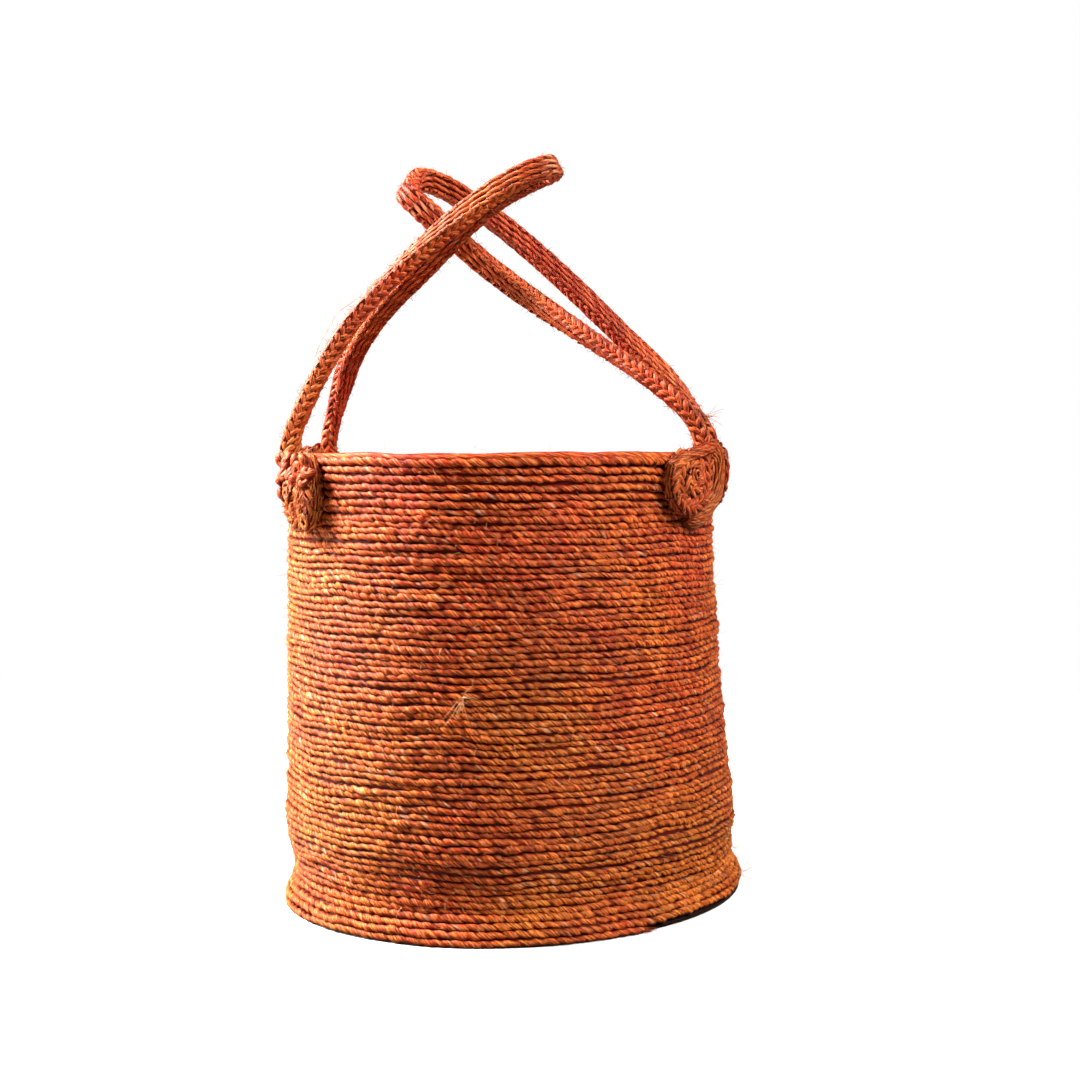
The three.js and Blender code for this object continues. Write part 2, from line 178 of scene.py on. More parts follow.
@dataclass(frozen=True)
class JuteFinish(Finish):
    """Jute cord: dull, a little glossy, and streaked along its fibres.

    Pale straw fibres lie among the dyed ones, and some areas are redder and others browner. The
    streaks are drawn coarser than real fibres, which would be too fine to show. Shade is painted
    into the colour at each cord's edges and between its plies, and light can be painted in as a
    lighter, redder tone toward the rim.
    """

    deep: str
    body: str
    pale: str
    straw: str
    fibre_width: float = 0.8 * MM
    fibre_length: float = 11 * MM
    patch: float = 45 * MM
    dip: float = 60 * MM
    relief: float = 0.8 * MM
    pale_share: float = 0.66
    # Painted shade between rows and plies: its colour, and the mask range over which it fades out.
    gap_shade: str = "742a0a"
    gap_shade_from: float = 0.2
    gap_shade_to: float = 0.9
    roughness: float = 0.45
    gloss: float = 0.24
    gloss_tint: str = "ffe0c4"
    hue_spread: float = 0.006
    # Painted light toward the rim: a hue shift over the wall's height, and a lightening between two shares
    # of it.
    hue_rim: float = 0.0
    top_light: float = 1.0
    top_light_from: float = 0.6
    top_light_to: float = 0.95
    bunch: float = 0.22
    straw_edge: float = 0.12
    straw_most: float = 0.4
    darkest: float = 0.66
    lightest: float = 1.26

    def shader(self, work: NodeWork) -> bpy.types.Node:
        """Return a shader that reads the cord's own attributes and Object coordinates."""
        along = work.add("ShaderNodeAttribute", attribute_name="fibre").outputs["Vector"]
        stretched = work.vector("MULTIPLY", along, (1.0, 1.0, self.fibre_width / self.fibre_length))
        streaks = work.noise({"Vector": stretched, "Scale": 1 / self.fibre_width, "Detail": 3.0,
                              "Roughness": 0.65})
        place = work.add("ShaderNodeTexCoord").outputs["Object"]
        patches = work.noise({"Vector": place, "Scale": 1 / self.patch, "Detail": 3.0, "Roughness": 0.65})
        bunches = work.noise({"Vector": stretched, "Scale": self.bunch / self.fibre_width, "Detail": 1.0})
        dye = work.ramp(streaks, (0.4, self.deep), (0.5, self.body), (0.6, self.pale))
        straws = work.remap(bunches, self.pale_share, self.pale_share + self.straw_edge, 0.0,
                            self.straw_most)
        dyed = work.mix(straws, dye, linear(self.straw))
        run = work.add("ShaderNodeSeparateXYZ", {0: along}).outputs["Z"]
        lengths = work.noise({"W": run, "Scale": 1 / self.dip, "Detail": 2.0, "Roughness": 0.6},
                             noise_dimensions="1D")
        shade = work.remap(work.math("ADD", patches, lengths), 0.65, 1.35, self.darkest, self.lightest)
        areas = work.noise({"Vector": place, "Scale": 0.5 / self.patch, "Detail": 1.0})
        lean = work.remap(areas, 0.35, 0.65, 0.5 - self.hue_spread, 0.5 + self.hue_spread)
        rise = work.add("ShaderNodeSeparateXYZ", {0: place}).outputs["Z"]
        # Painted light: the colour turns by the rim hue shift and grows lighter toward the rim.
        hue = work.math("ADD", lean, work.remap(rise, 0.0, WALL_HEIGHT, 0.0, self.hue_rim))
        top_lit = work.remap(rise, self.top_light_from * WALL_HEIGHT, self.top_light_to * WALL_HEIGHT, 1.0,
                           self.top_light)
        toned = work.add("ShaderNodeHueSaturation",
                         {"Color": dyed, "Hue": hue, "Value": work.math("MULTIPLY", shade, top_lit)})
        # Painted shade: the colour is multiplied toward the gap shade colour where the shade mask is low,
        # at each cord's top and bottom edges and in the grooves between plies. Pieces without the mask,
        # such as the cores, take the full painted shade.
        painted_shade_mask = work.add("ShaderNodeAttribute", attribute_name="painted_shade_mask").outputs["Fac"]
        lit = work.remap(painted_shade_mask, self.gap_shade_from, self.gap_shade_to, interpolation_type="SMOOTHSTEP")
        depth = work.mix(lit, linear(self.gap_shade), linear("ffffff"))
        painted_shade_colour = work.mix(1.0, toned.outputs["Color"], depth, blend_type="MULTIPLY")
        bump = work.add("ShaderNodeBump", {"Height": streaks, "Strength": 0.9, "Distance": self.relief})
        return work.add("ShaderNodeBsdfPrincipled",
                        {"Base Color": painted_shade_colour, "Roughness": self.roughness, "IOR": 1.5,
                         "Specular IOR Level": self.gloss, "Specular Tint": linear(self.gloss_tint),
                         "Normal": bump.outputs["Normal"]})


@dataclass(frozen=True)
class FuzzFinish(Finish):
    """Loose bast fibres that stand off the cord: thin, pale and a little glossy."""

    name: str = "jute_stray_fibre"
    dark: str = "b4662e"
    light: str = "f2ba7c"

    def shader(self, work: NodeWork) -> bpy.types.Node:
        """Return a shader whose colour changes from fibre to fibre."""
        place = work.add("ShaderNodeTexCoord").outputs["Object"]
        spots = work.noise({"Vector": place, "Scale": 260.0, "Detail": 0.0})
        tint = work.ramp(spots, (0.38, self.dark), (0.62, self.light))
        return work.add("ShaderNodeBsdfPrincipled", {"Base Color": tint, "Roughness": 0.6, "IOR": 1.5})


@dataclass(frozen=True)
class CordSpec:
    """A cord laid up from twisted plies."""

    thickness: float
    lay: float
    plies: int = 2
    sides: int = 6
    unevenness: float = 0.14
    wander: float = 0.0
    openness: float = 0.24

    @property
    def orbit(self) -> float:
        """Distance from the cord's middle to the middle of a ply."""
        return self.openness * self.thickness

    @property
    def ply_radius(self) -> float:
        """Radius of one ply, a little fuller than its share so that the plies press together."""
        return 0.5 * self.thickness - self.orbit + 0.02 * self.thickness


@dataclass
class Strand:
    """The middle line of one cord, with the two directions that its plies turn in."""

    points: np.ndarray
    face: np.ndarray
    side: np.ndarray
    run: np.ndarray
    girth: np.ndarray

    def cut(self, start: float, end: float, arc: np.ndarray) -> Strand:
        """Take the stretch whose place lies between two values.

        Args:
            start: Lowest place kept, in the units of arc.
            end: Highest place kept.
            arc: Place of every point, such as its turn.

        Returns:
            The stretch, with one point to spare at each end.
        """
        inside = np.flatnonzero((arc >= start) & (arc <= end))
        low = max(inside[0] - 1, 0)
        high = min(inside[-1] + 2, len(arc))
        return Strand(self.points[low:high], self.face[low:high], self.side[low:high],
                      self.run[low:high], self.girth[low:high])


def strands_mesh(name: str, strands: list[Strand]) -> bpy.types.Mesh:
    """Write middle lines as a mesh of edges whose points carry the cord's directions.

    Args:
        name: Name of the mesh.
        strands: The middle lines.

    Returns:
        A mesh with the attributes face, side, run and girth.
    """
    counts = [len(strand.run) for strand in strands]
    starts = np.concatenate([[0], np.cumsum(counts)[:-1]])
    edges = np.concatenate([
        np.stack([np.arange(count - 1) + start, np.arange(1, count) + start], axis=1)
        for start, count in zip(starts, counts)])
    mesh = bpy.data.meshes.new(name)
    mesh.vertices.add(sum(counts))
    mesh.vertices.foreach_set("co", np.concatenate([s.points for s in strands]).ravel())
    mesh.edges.add(len(edges))
    mesh.edges.foreach_set("vertices", edges.astype(np.int32).ravel())
    for attribute, kind, slot in (("face", "FLOAT_VECTOR", "vector"), ("side", "FLOAT_VECTOR", "vector"),
                                  ("run", "FLOAT", "value"), ("girth", "FLOAT", "value")):
        values = np.concatenate([getattr(s, attribute) for s in strands])
        mesh.attributes.new(attribute, kind, "POINT").data.foreach_set(slot, values.ravel())
    mesh.update()
    return mesh


class NodeModifier(NodeWork):
    """A Geometry Nodes tree with named inputs, run once on a mesh and baked to a plain one."""

    def __init__(self, name: str, floats: tuple[str, ...], whole: str) -> None:
        """Make the tree's interface. Every tree also takes a mesh and a material.

        Args:
            name: Name of the tree.
            floats: Names of the inputs that take any number.
            whole: Name of the one input that takes a whole number.
        """
        super().__init__(bpy.data.node_groups.new(name, "GeometryNodeTree"))
        kinds = {"Geometry": "Geometry", **dict.fromkeys(floats, "Float"), whole: "Int",
                 "Material": "Material"}
        for title, kind in kinds.items():
            self.tree.interface.new_socket(title, in_out="INPUT", socket_type=f"NodeSocket{kind}")
        self.tree.interface.new_socket("Geometry", in_out="OUTPUT", socket_type="NodeSocketGeometry")
        self.start = self.tree.nodes.new("NodeGroupInput")
        self.end = self.tree.nodes.new("NodeGroupOutput")

    def value(self, title: str) -> bpy.types.NodeSocket:
        """Return the group's input socket of that name."""
        return self.start.outputs[title]

    def named(self, name: str, data_type: str) -> bpy.types.NodeSocket:
        """Return the output that reads a named attribute."""
        return self.add("GeometryNodeInputNamedAttribute", {"Name": name},
                        data_type=data_type).outputs["Attribute"]

    def store(self, geometry: bpy.types.NodeSocket, name: str, value: bpy.types.NodeSocket,
              data_type: str) -> bpy.types.NodeSocket:
        """Return the geometry with a value kept on its points."""
        inputs = {"Geometry": geometry, "Name": name, "Value": value}
        return self.add("GeometryNodeStoreNamedAttribute", inputs, data_type=data_type,
                        domain="POINT").outputs[0]

    def shift(self, geometry: bpy.types.NodeSocket, offset: bpy.types.NodeSocket) -> bpy.types.NodeSocket:
        """Return the geometry with its points moved."""
        return self.add("GeometryNodeSetPosition", {"Geometry": geometry, "Offset": offset}).outputs[0]

    def close(self, geometry: bpy.types.NodeSocket) -> None:
        """End the tree in Realize Instances, smooth shading and Set Material.

        Args:
            geometry: What the tree made.
        """
        real = self.add("GeometryNodeRealizeInstances", {0: geometry}).outputs[0]
        smooth = self.add("GeometryNodeSetShadeSmooth", {"Geometry": real}).outputs[0]
        dressed = self.add("GeometryNodeSetMaterial",
                           {"Geometry": smooth, "Material": self.value("Material")})
        self.tree.links.new(dressed.outputs[0], self.end.inputs[0])

    def run(self, name: str, mesh: bpy.types.Mesh, values: dict[str, object]) -> bpy.types.Object:
        """Run the tree on a mesh.

        Args:
            name: Name of the piece.
            mesh: What goes in.
            values: Input name to value.

        Returns:
            An object with the plain mesh that came out, at the origin.
        """
        source = put(f"{name}_source", mesh)
        modifier = source.modifiers.new("build", "NODES")
        modifier.node_group = self.tree
        sockets = {item.name: item.identifier for item in self.tree.interface.items_tree
                   if item.in_out == "INPUT"}
        for title, value in values.items():
            modifier[sockets[title]] = value
        depsgraph = bpy.context.evaluated_depsgraph_get()
        plain = bpy.data.meshes.new_from_object(
            source.evaluated_get(depsgraph), preserve_all_data_layers=True, depsgraph=depsgraph)
        source.modifiers.remove(modifier)
        bpy.data.objects.remove(source)
        bpy.data.meshes.remove(mesh)
        for attribute in ("face", "side", "run", "girth", "middle"):
            if attribute in plain.attributes:
                plain.attributes.remove(plain.attributes[attribute])
        plain.name = name
        return put(name, plain)


def cord_tree(plies: int) -> NodeModifier:
    """Build the tree that lays up a cord from its middle line.

    Args:
        plies: Number of plies.

    Returns:
        The tree. Each ply turns about the middle line at a steady lay and swells and thins a little.
        It also stores a mask for painted shade, low at the cord's top and bottom edges and in the
        grooves between plies.
    """
    made = NodeModifier(f"cord_of_{plies}_plies", ("Orbit", "Ply Radius", "Turns per Metre", "Unevenness",
                                                    "Wander"), "Sides")
    face = made.named("face", "FLOAT_VECTOR")
    side = made.named("side", "FLOAT_VECTOR")
    run = made.named("run", "FLOAT")
    girth = made.named("girth", "FLOAT")
    curve = made.add("GeometryNodeMeshToCurve", {"Mesh": made.value("Geometry")}).outputs[0]
    drift = made.add("ShaderNodeTexNoise", {"Scale": 30.0, "Detail": 1.0}).outputs["Color"]
    shift = made.vector("SUBTRACT", drift, (0.5, 0.5, 0.5))
    curve = made.shift(curve, made.vector("SCALE", shift, scale=made.value("Wander")))
    where = made.add("GeometryNodeInputPosition").outputs[0]
    curve = made.store(curve, "middle", where, "FLOAT_VECTOR")
    ring = made.add("GeometryNodeCurvePrimitiveCircle",
                    {"Resolution": made.value("Sides"), "Radius": 1.0}, mode="RADIUS").outputs["Curve"]
    turned = made.math("MULTIPLY", run, made.value("Turns per Metre"))
    joined = made.add("GeometryNodeJoinGeometry")
    for ply in range(plies):
        angle = made.math("MULTIPLY", made.math("ADD", turned, ply / plies), math.tau)
        outward = made.vector("SCALE", face, scale=made.math("COSINE", angle))
        across = made.vector("SCALE", side, scale=made.math("SINE", angle))
        reach = made.math("MULTIPLY", made.value("Orbit"), girth)
        path = made.shift(curve, made.vector("SCALE", made.vector("ADD", outward, across), scale=reach))
        lumps = made.noise({"W": made.math("ADD", run, 31.7 * (ply + 1)), "Scale": 130.0, "Detail": 1.5},
                           noise_dimensions="1D")
        swell = made.math("MULTIPLY", made.math("SUBTRACT", lumps, 0.5), 2.0)
        swell = made.math("MULTIPLY_ADD", swell, made.value("Unevenness"), 1.0)
        radius = made.math("MULTIPLY", made.math("MULTIPLY", made.value("Ply Radius"), girth), swell)
        tube = made.add("GeometryNodeCurveToMesh",
                        {"Curve": path, "Profile Curve": ring, "Scale": radius, "Fill Caps": True})
        made.tree.links.new(tube.outputs[0], joined.inputs[0])
    lever = made.vector("SUBTRACT", where, made.named("middle", "FLOAT_VECTOR"))
    height = made.vector("DOT_PRODUCT", lever, face, output="Value")
    aside = made.vector("DOT_PRODUCT", lever, side, output="Value")
    section = made.add("ShaderNodeCombineXYZ", {"X": height, "Y": aside, "Z": run}).outputs[0]
    untwisted = made.add("ShaderNodeVectorRotate",
                         {"Vector": section, "Angle": made.math("MULTIPLY", turned, -math.tau)},
                         rotation_type="Z_AXIS").outputs[0]
    stored = made.store(joined.outputs[0], "fibre", untwisted, "FLOAT_VECTOR")
    # Mask for painted shade: low at the cord's top and bottom edges and in the grooves between plies.
    reach = made.math("MULTIPLY", made.math("ADD", made.value("Orbit"), made.value("Ply Radius")), girth)
    painted_shade_mask = made.math("DIVIDE", made.math("ABSOLUTE", height), reach)
    distance = made.vector("LENGTH", lever, output="Value")
    ply_seam_shade = made.remap(made.math("DIVIDE", distance, reach), 0.64, 0.88, 0.68, 1.0)
    made.close(made.store(stored, "painted_shade_mask", made.math("MULTIPLY", painted_shade_mask, ply_seam_shade), "FLOAT"))
    return made


def smoothstep(low: float, high: float, value: np.ndarray) -> np.ndarray:
    """Return 0 below low, 1 above high and a soft ramp between them."""
    share = np.clip((value - low) / (high - low), 0.0, 1.0)
    return share * share * (3.0 - 2.0 * share)


def unit(vectors: np.ndarray) -> np.ndarray:
    """Return the vectors scaled to length 1."""
    return vectors / np.linalg.norm(vectors, axis=-1, keepdims=True)


def run_of(points: np.ndarray) -> np.ndarray:
    """Return how far along the line each point lies."""
    steps = np.linalg.norm(np.diff(points, axis=0), axis=1)
    return np.concatenate([[0.0], np.cumsum(steps)])


def drift(run: np.ndarray, length: float, seed: int) -> np.ndarray:
    """Make smooth random values along a run.

    Args:
        run: Place along the line, in metres.
        length: Distance over which the value changes.
        seed: Fixed seed.

    Returns:
        Values between -1 and 1.
    """
    spots = np.random.default_rng(seed).uniform(-1.0, 1.0, int(run.max() / length) + 3)
    index = (run / length).astype(int)
    share = smoothstep(0.0, 1.0, run / length - index)
    return spots[index] * (1.0 - share) + spots[index + 1] * share


def make_strand(points: np.ndarray, face: np.ndarray, girth: np.ndarray | None = None,
                start: float = 0.0) -> Strand:
    """Finish a middle line with its turning directions.

    Args:
        points: The line's points.
        face: Roughly outward direction at each point.
        girth: Thickness factor at each point, or None for an even cord.
        start: Run at the first point, which sets where the twist begins.

    Returns:
        The strand. Face, side and run make a right-handed frame.
    """
    tangent = unit(np.gradient(points, axis=0))
    side = unit(np.cross(tangent, face))
    square_face = np.cross(side, tangent)
    run = run_of(points)
    return Strand(points, square_face, side, run + start, np.ones(len(run)) if girth is None else girth)


class Ropewalk:
    """Lays up cords. It keeps one tree for each number of plies."""

    def __init__(self) -> None:
        """Start with no trees."""
        self.trees: dict[int, NodeModifier] = {}

    def lay_up(self, name: str, strands: list[Strand], spec: CordSpec,
               material: bpy.types.Material) -> bpy.types.Object:
        """Make cords along middle lines.

        Args:
            name: Name of the piece.
            strands: The middle lines.
            spec: The cord.
            material: Its finish.

        Returns:
            The piece, as a plain mesh.
        """
        if spec.plies not in self.trees:
            self.trees[spec.plies] = cord_tree(spec.plies)
        return self.trees[spec.plies].run(name, strands_mesh(name, strands), {
            "Orbit": spec.orbit,
            "Ply Radius": spec.ply_radius,
            "Turns per Metre": 1.0 / spec.lay,
            "Sides": spec.sides,
            "Unevenness": spec.unevenness,
            "Wander": spec.wander,
            "Material": material,
        })


def settle(piece: bpy.types.Object, body: str, slot: str, *stands_for: str) -> None:
    """Hand a piece to the frame.

    Args:
        piece: The piece.
        body: The body that it rides on.
        slot: The record's material slot. Not used.
        *stands_for: CAD nodes that it stands for.
    """
    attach(piece, body)
    if stands_for:
        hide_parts(*stands_for)
    log.info("%s: %d faces", piece.name, len(piece.data.polygons))


def tube_mesh(name: str, rings: np.ndarray, material: bpy.types.Material,
              hoop: bool) -> bpy.types.Object:
    """Join rings of points into a closed mesh.

    Args:
        name: Name of the piece.
        rings: Points, as ring, corner, coordinate.
        material: Its finish.
        hoop: Whether the last ring meets the first one. A bar gets closed ends instead.

    Returns:
        The piece, with its faces outward and smooth.
    """
    count, corners, _ = rings.shape
    spans = count if hoop else count - 1
    ring, corner = np.meshgrid(np.arange(spans), np.arange(corners), indexing="ij")
    after, turn = (ring + 1) % count, (corner + 1) % corners
    faces = np.stack([ring * corners + corner, ring * corners + turn, after * corners + turn,
                      after * corners + corner], axis=-1).reshape(-1, 4).tolist()
    if not hoop:
        last = (count - 1) * corners
        faces += [list(range(corners)), list(range(last, last + corners))]
    mesh = bpy.data.meshes.new(name)
    mesh.from_pydata(rings.reshape(-1, 3).tolist(), [], faces)
    work = bmesh.new()
    work.from_mesh(mesh)
    bmesh.ops.recalc_face_normals(work, faces=work.faces)
    work.to_mesh(mesh)
    work.free()
    mesh.shade_smooth()
    mesh.materials.append(material)
    return put(name, mesh)


@dataclass(frozen=True)
class Shell:
    """The wall's outer form: a leaning oval, flared at the floor, drawn in above it, then full."""

    base_radius: float = 164.5 * MM
    waist_radius: float = 156.0 * MM
    waist_height: float = 24.0 * MM
    belly_radius: float = 160.0 * MM
    belly_height: float = 60.0 * MM
    rim_radius: float = 151.5 * MM
    rim_top: float = WALL_HEIGHT
    rim_shift: float = -12.5 * MM
    base_skew: float = 0.13

    def radius(self, height: np.ndarray) -> np.ndarray:
        """Return the outer radius at a height."""
        foot = self.base_radius + (self.waist_radius - self.base_radius) * smoothstep(
            0.0, self.waist_height, height)
        belly = self.waist_radius + (self.belly_radius - self.waist_radius) * smoothstep(
            self.waist_height, self.belly_height, height)
        rise = np.clip((height - self.belly_height) / (self.rim_top - self.belly_height), 0.0, 1.0)
        upper = self.belly_radius + (self.rim_radius - self.belly_radius) * rise * (2.0 - rise)
        above_waist = np.where(height < self.belly_height, belly, upper)
        return np.where(height < self.waist_height, foot, above_waist)

    def point(self, azimuth: np.ndarray, height: np.ndarray, offset: float | np.ndarray) -> np.ndarray:
        """Place a point on the shell.

        Args:
            azimuth: Degrees from +X.
            height: Height above the floor.
            offset: Distance outward from the shell.

        Returns:
            Points, with the last axis holding x, y and z.
        """
        azimuth, height, offset = np.broadcast_arrays(
            np.asarray(azimuth, float), np.asarray(height, float), np.asarray(offset, float))
        rise = np.clip(height / self.rim_top, 0.0, 1.0)
        reach = self.radius(height) + offset
        y = reach * np.sin(np.radians(azimuth))
        centre = self.rim_shift * np.sin(rise * np.pi / 2)
        x = centre + reach * np.cos(np.radians(azimuth)) + self.base_skew * (1.0 - rise) * y
        return np.stack([x, y, height], axis=-1)

    def skin(self, azimuth: np.ndarray, heights: list | np.ndarray, outer: float,
             inner: float) -> np.ndarray:
        """Return the rings of a closed skin that lies between two distances outward from the shell."""
        outside = [self.point(azimuth, height, outer) for height in heights]
        inside = [self.point(azimuth, height, inner) for height in heights[::-1]]
        return np.stack(outside + inside, axis=1)

    def outward(self, azimuth: np.ndarray, height: np.ndarray) -> np.ndarray:
        """Return the direction square to the shell, away from the bin."""
        around = self.point(azimuth + 0.5, height, 0.0) - self.point(azimuth - 0.5, height, 0.0)
        low = np.clip(height - MM, 0.0, self.rim_top)
        high = np.clip(height + MM, 0.0, self.rim_top)
        upward = self.point(azimuth, high, 0.0) - self.point(azimuth, low, 0.0)
        return unit(np.cross(around, upward))


@dataclass
class Cordage:
    """A sub-assembly of cords that belongs to the basket."""

    shell: Shell
    walk: Ropewalk
    finish: JuteFinish

    def lay(self, name: str, strands: list[Strand], cord: CordSpec, slot: str, *stands_for: str) -> None:
        """Lay up cords in the sub-assembly's finish and hand them to the frame."""
        settle(self.walk.lay_up(name, strands, cord, self.finish.material()), "basket", slot, *stands_for)


@dataclass
class Wall(Cordage):
    """The bin's side: one cord in about 65 turns, with its tail at the floor and a core behind it."""

    height: float = 303.7 * MM
    turns: float = 64.95
    tail_azimuth: float = -52.5
    lift_from: float = 275.0 * MM
    bands: int = 7
    step: float = 2.1 * MM
    # Size, length and seed of each slow change in the rows' height.
    row_waves: tuple[tuple[float, float, int], ...] = ((0.75 * MM, 38 * MM, 11), (0.4 * MM, 13 * MM, 19))
    row_proud: float = 0.62 * MM
    bow: float = 0.7 * MM
    core_corners: int = 144
    core_rings: int = 40
    # Share, length and seed of each slow change in the cord's thickness.
    girth_waves: tuple[tuple[float, float, int], ...] = (
        (0.12, 26 * MM, 12), (0.09, 9 * MM, 15), (0.09, 240 * MM, 18), (0.08, 17 * MM, 20))
    cord: CordSpec = CordSpec(thickness=5.35 * MM, lay=16.0 * MM, unevenness=0.48, wander=2.8 * MM,
                              openness=0.118)

    @property
    def pitch(self) -> float:
        """Rise of one turn."""
        return self.height / (self.turns + 1.0)

    def helix(self) -> tuple[Strand, np.ndarray]:
        """Make the cord's middle line.

        Returns:
            The strand from the tail upward, and the turn at each of its points. The top rows are
            lifted where one row fewer passes, so that the wall ends level.
        """
        per_turn = int(math.tau * self.shell.belly_radius / self.step)
        turn = np.arange(int(self.turns * per_turn) + 1) / per_turn
        azimuth = self.tail_azimuth - 360.0 * turn
        end_azimuth = self.tail_azimuth - 360.0 * self.turns
        height = self.pitch * (turn + 0.5)
        missing = np.mod(azimuth - end_azimuth, 360.0) / 360.0
        missing *= 1.0 - smoothstep(344.0 / 360.0, 1.0, missing)
        height += self.pitch * missing * smoothstep(self.lift_from, self.height, height)
        around = turn * math.tau * self.shell.belly_radius
        loose = smoothstep(0.0, 2.0, turn) * (1.0 - smoothstep(self.turns - 2.0, self.turns, turn))
        loose *= 0.35 + 0.65 * smoothstep(8 * MM, 36 * MM, height)
        for size, length, seed in self.row_waves:
            height += size * drift(around, length, seed) * loose
        height += self.sway(azimuth, height) * loose
        height = np.clip(height, 0.5 * self.cord.thickness, self.height - 0.4 * self.cord.thickness)
        proud = self.row_proud * (drift(around, 55 * MM, 13) + 0.6 * drift(around, 21 * MM, 14))
        points = self.shell.point(azimuth, height, -0.53 * self.cord.thickness + proud)
        girth = np.ones(len(turn))
        for share, length, seed in self.girth_waves:
            girth += share * drift(around, length, seed)
        girth += 0.14 * (1.0 - smoothstep(18 * MM, 34 * MM, height))
        girth *= 0.84 + 0.16 * smoothstep(0.7, 1.3, turn)
        strand = make_strand(points, self.shell.outward(azimuth, height), girth)
        strand.run = strand.run + 4.0 * MM * drift(around, 48 * MM, 16)
        return strand, turn

    def sway(self, azimuth: np.ndarray, height: np.ndarray) -> np.ndarray:
        """Return how far neighbouring rows bow up or down together."""
        slow = np.radians(azimuth)
        bow = np.sin(2.0 * slow + height / (52 * MM)) + 0.7 * np.sin(5.0 * slow - height / (31 * MM) + 1.3)
        bow += 0.45 * np.sin(11.0 * slow + height / (17 * MM) + 0.4)
        room = smoothstep(0.0, 30 * MM, height) * (1.0 - smoothstep(250 * MM, 295 * MM, height))
        return self.bow * bow * room

    def core(self, material: bpy.types.Material) -> bpy.types.Object:
        """Make the packed fibre behind the rows, which keeps light from showing between them."""
        azimuth = self.tail_azimuth - np.linspace(0.0, 359.0, self.core_corners)
        edge = np.linspace(0.0, 1.0, self.core_corners) * self.pitch + 1.2 * MM
        shares = np.linspace(0.0, 1.0, self.core_rings)
        heights = [edge + (self.height + 2 * MM - edge) * share for share in shares]
        skin = self.shell.skin(azimuth, heights, -0.5 * self.cord.thickness, -0.62 * self.cord.thickness)
        # With no shade mask, the core takes its finish's full painted shade.
        return tube_mesh("wall_core", skin, material, hoop=True)

    def build(self) -> None:
        """Build the bands of rows and the core."""
        strand, turn = self.helix()
        for band in range(self.bands):
            low = band * self.turns / self.bands
            piece = strand.cut(low, (band + 1) * self.turns / self.bands, turn)
            self.lay(f"wall_rows_{band + 1}", [piece], self.cord, "wall_jute", "wall_coil")
        settle(self.core(self.finish.material()), "basket", "wall_jute")


@dataclass
class RimCord(Cordage):
    """The thicker cord that closes the top row, and the thin one laid over its inner side."""

    cap_finish: JuteFinish
    tilt: float = 0.6 * MM
    ripple: float = 0.5 * MM
    step: float = 2.2 * MM
    capping: CordSpec = CordSpec(thickness=4.8 * MM, lay=60.0 * MM, plies=1, sides=12, unevenness=0.12,
                                 wander=0.8 * MM, openness=0.0)
    cord: CordSpec = CordSpec(thickness=6.6 * MM, lay=21.0 * MM, sides=10, unevenness=0.2, wander=1.2 * MM,
                              openness=0.15)

    def ring(self, name: str, cord: CordSpec, finish: JuteFinish, height: float,
             inward: float) -> bpy.types.Object:
        """Lay a cord round the rim with a whole number of lays, so that its ends meet.

        Args:
            name: Name of the piece.
            cord: The cord.
            finish: Its finish.
            height: Height of its middle.
            inward: Distance of its middle inside the shell.

        Returns:
            The piece.
        """
        length = math.tau * self.shell.rim_radius
        azimuth = 150.0 - np.linspace(0.0, 360.0, int(length / self.step) + 1)
        turn = np.radians(azimuth)
        waves = np.sin(5.0 * turn + 1.0) + 0.8 * np.sin(9.0 * turn + 2.6) + 0.6 * np.sin(17.0 * turn)
        level = height + self.tilt * np.cos(turn) + self.ripple * waves
        points = self.shell.point(azimuth, level, -inward)
        strand = make_strand(points, self.shell.outward(azimuth, level))
        lay = strand.run[-1] / round(strand.run[-1] / cord.lay)
        return self.walk.lay_up(name, [strand], replace(cord, lay=lay), finish.material())

    def build(self) -> None:
        """Build both cords."""
        top = self.shell.rim_top
        rope = self.ring("rim_rope", self.cord, self.finish, top - 5.6 * MM, 2.2 * MM)
        settle(rope, "basket", "wall_jute", "rim_cord")
        cap = self.ring("rim_capping", self.capping, self.cap_finish, top - 2.45 * MM, 2.6 * MM)
        settle(cap, "basket", "wall_jute")


@dataclass
class Mat(Cordage):
    """The base: a cord in a flat spiral that follows the wall's oval, with packed fibre under it."""

    core_finish: JuteFinish
    pitch: float = 4.75 * MM
    step: float = 2.6 * MM
    cord: CordSpec = CordSpec(thickness=4.95 * MM, lay=15.0 * MM, unevenness=0.2, wander=0.8 * MM,
                              openness=0.14)

    def spiral(self) -> Strand:
        """Make the cord's middle line, from the wall inward."""
        edge = -(1.75 * self.cord.thickness)
        reach = self.shell.base_radius + edge
        turns = reach / self.pitch - 0.6
        share = np.linspace(0.0, 1.0, 200000)
        radius = reach - self.pitch * turns * share
        length = np.concatenate([[0.0], np.cumsum(0.5 * (radius[1:] + radius[:-1]) * np.diff(share))])
        length *= math.tau * turns
        count = int(length[-1] / self.step)
        share = np.interp(np.linspace(0.0, length[-1], count), length, share)
        radius = reach - self.pitch * turns * share
        azimuth = -55.0 - 360.0 * turns * share
        height = np.full(count, 0.5 * self.cord.thickness + 0.3 * MM)
        offset = radius - self.shell.radius(height)
        points = self.shell.point(azimuth, height, offset)
        return make_strand(points, np.tile([0.0, 0.0, 1.0], (count, 1)))

    def build(self) -> None:
        """Build the spiral and the thin core under it."""
        self.lay("mat_spiral", [self.spiral()], self.cord, "mat_jute", "base_mat")
        azimuth = np.linspace(0.0, 360.0, 72, endpoint=False)
        low, high, reach = 0.3 * MM, 3.1 * MM, -0.9 * self.cord.thickness
        centre = [0.5 * MM - self.shell.radius(h) for h in (low, high)]
        rings = [self.shell.point(azimuth, h, off) for h, off in
                 ((low, reach), (high, reach), (high, centre[1]), (low, centre[0]))]
        core = tube_mesh("mat_core", np.stack(rings, axis=1), self.core_finish.material(), hoop=True)
        settle(core, "basket", "mat_jute")


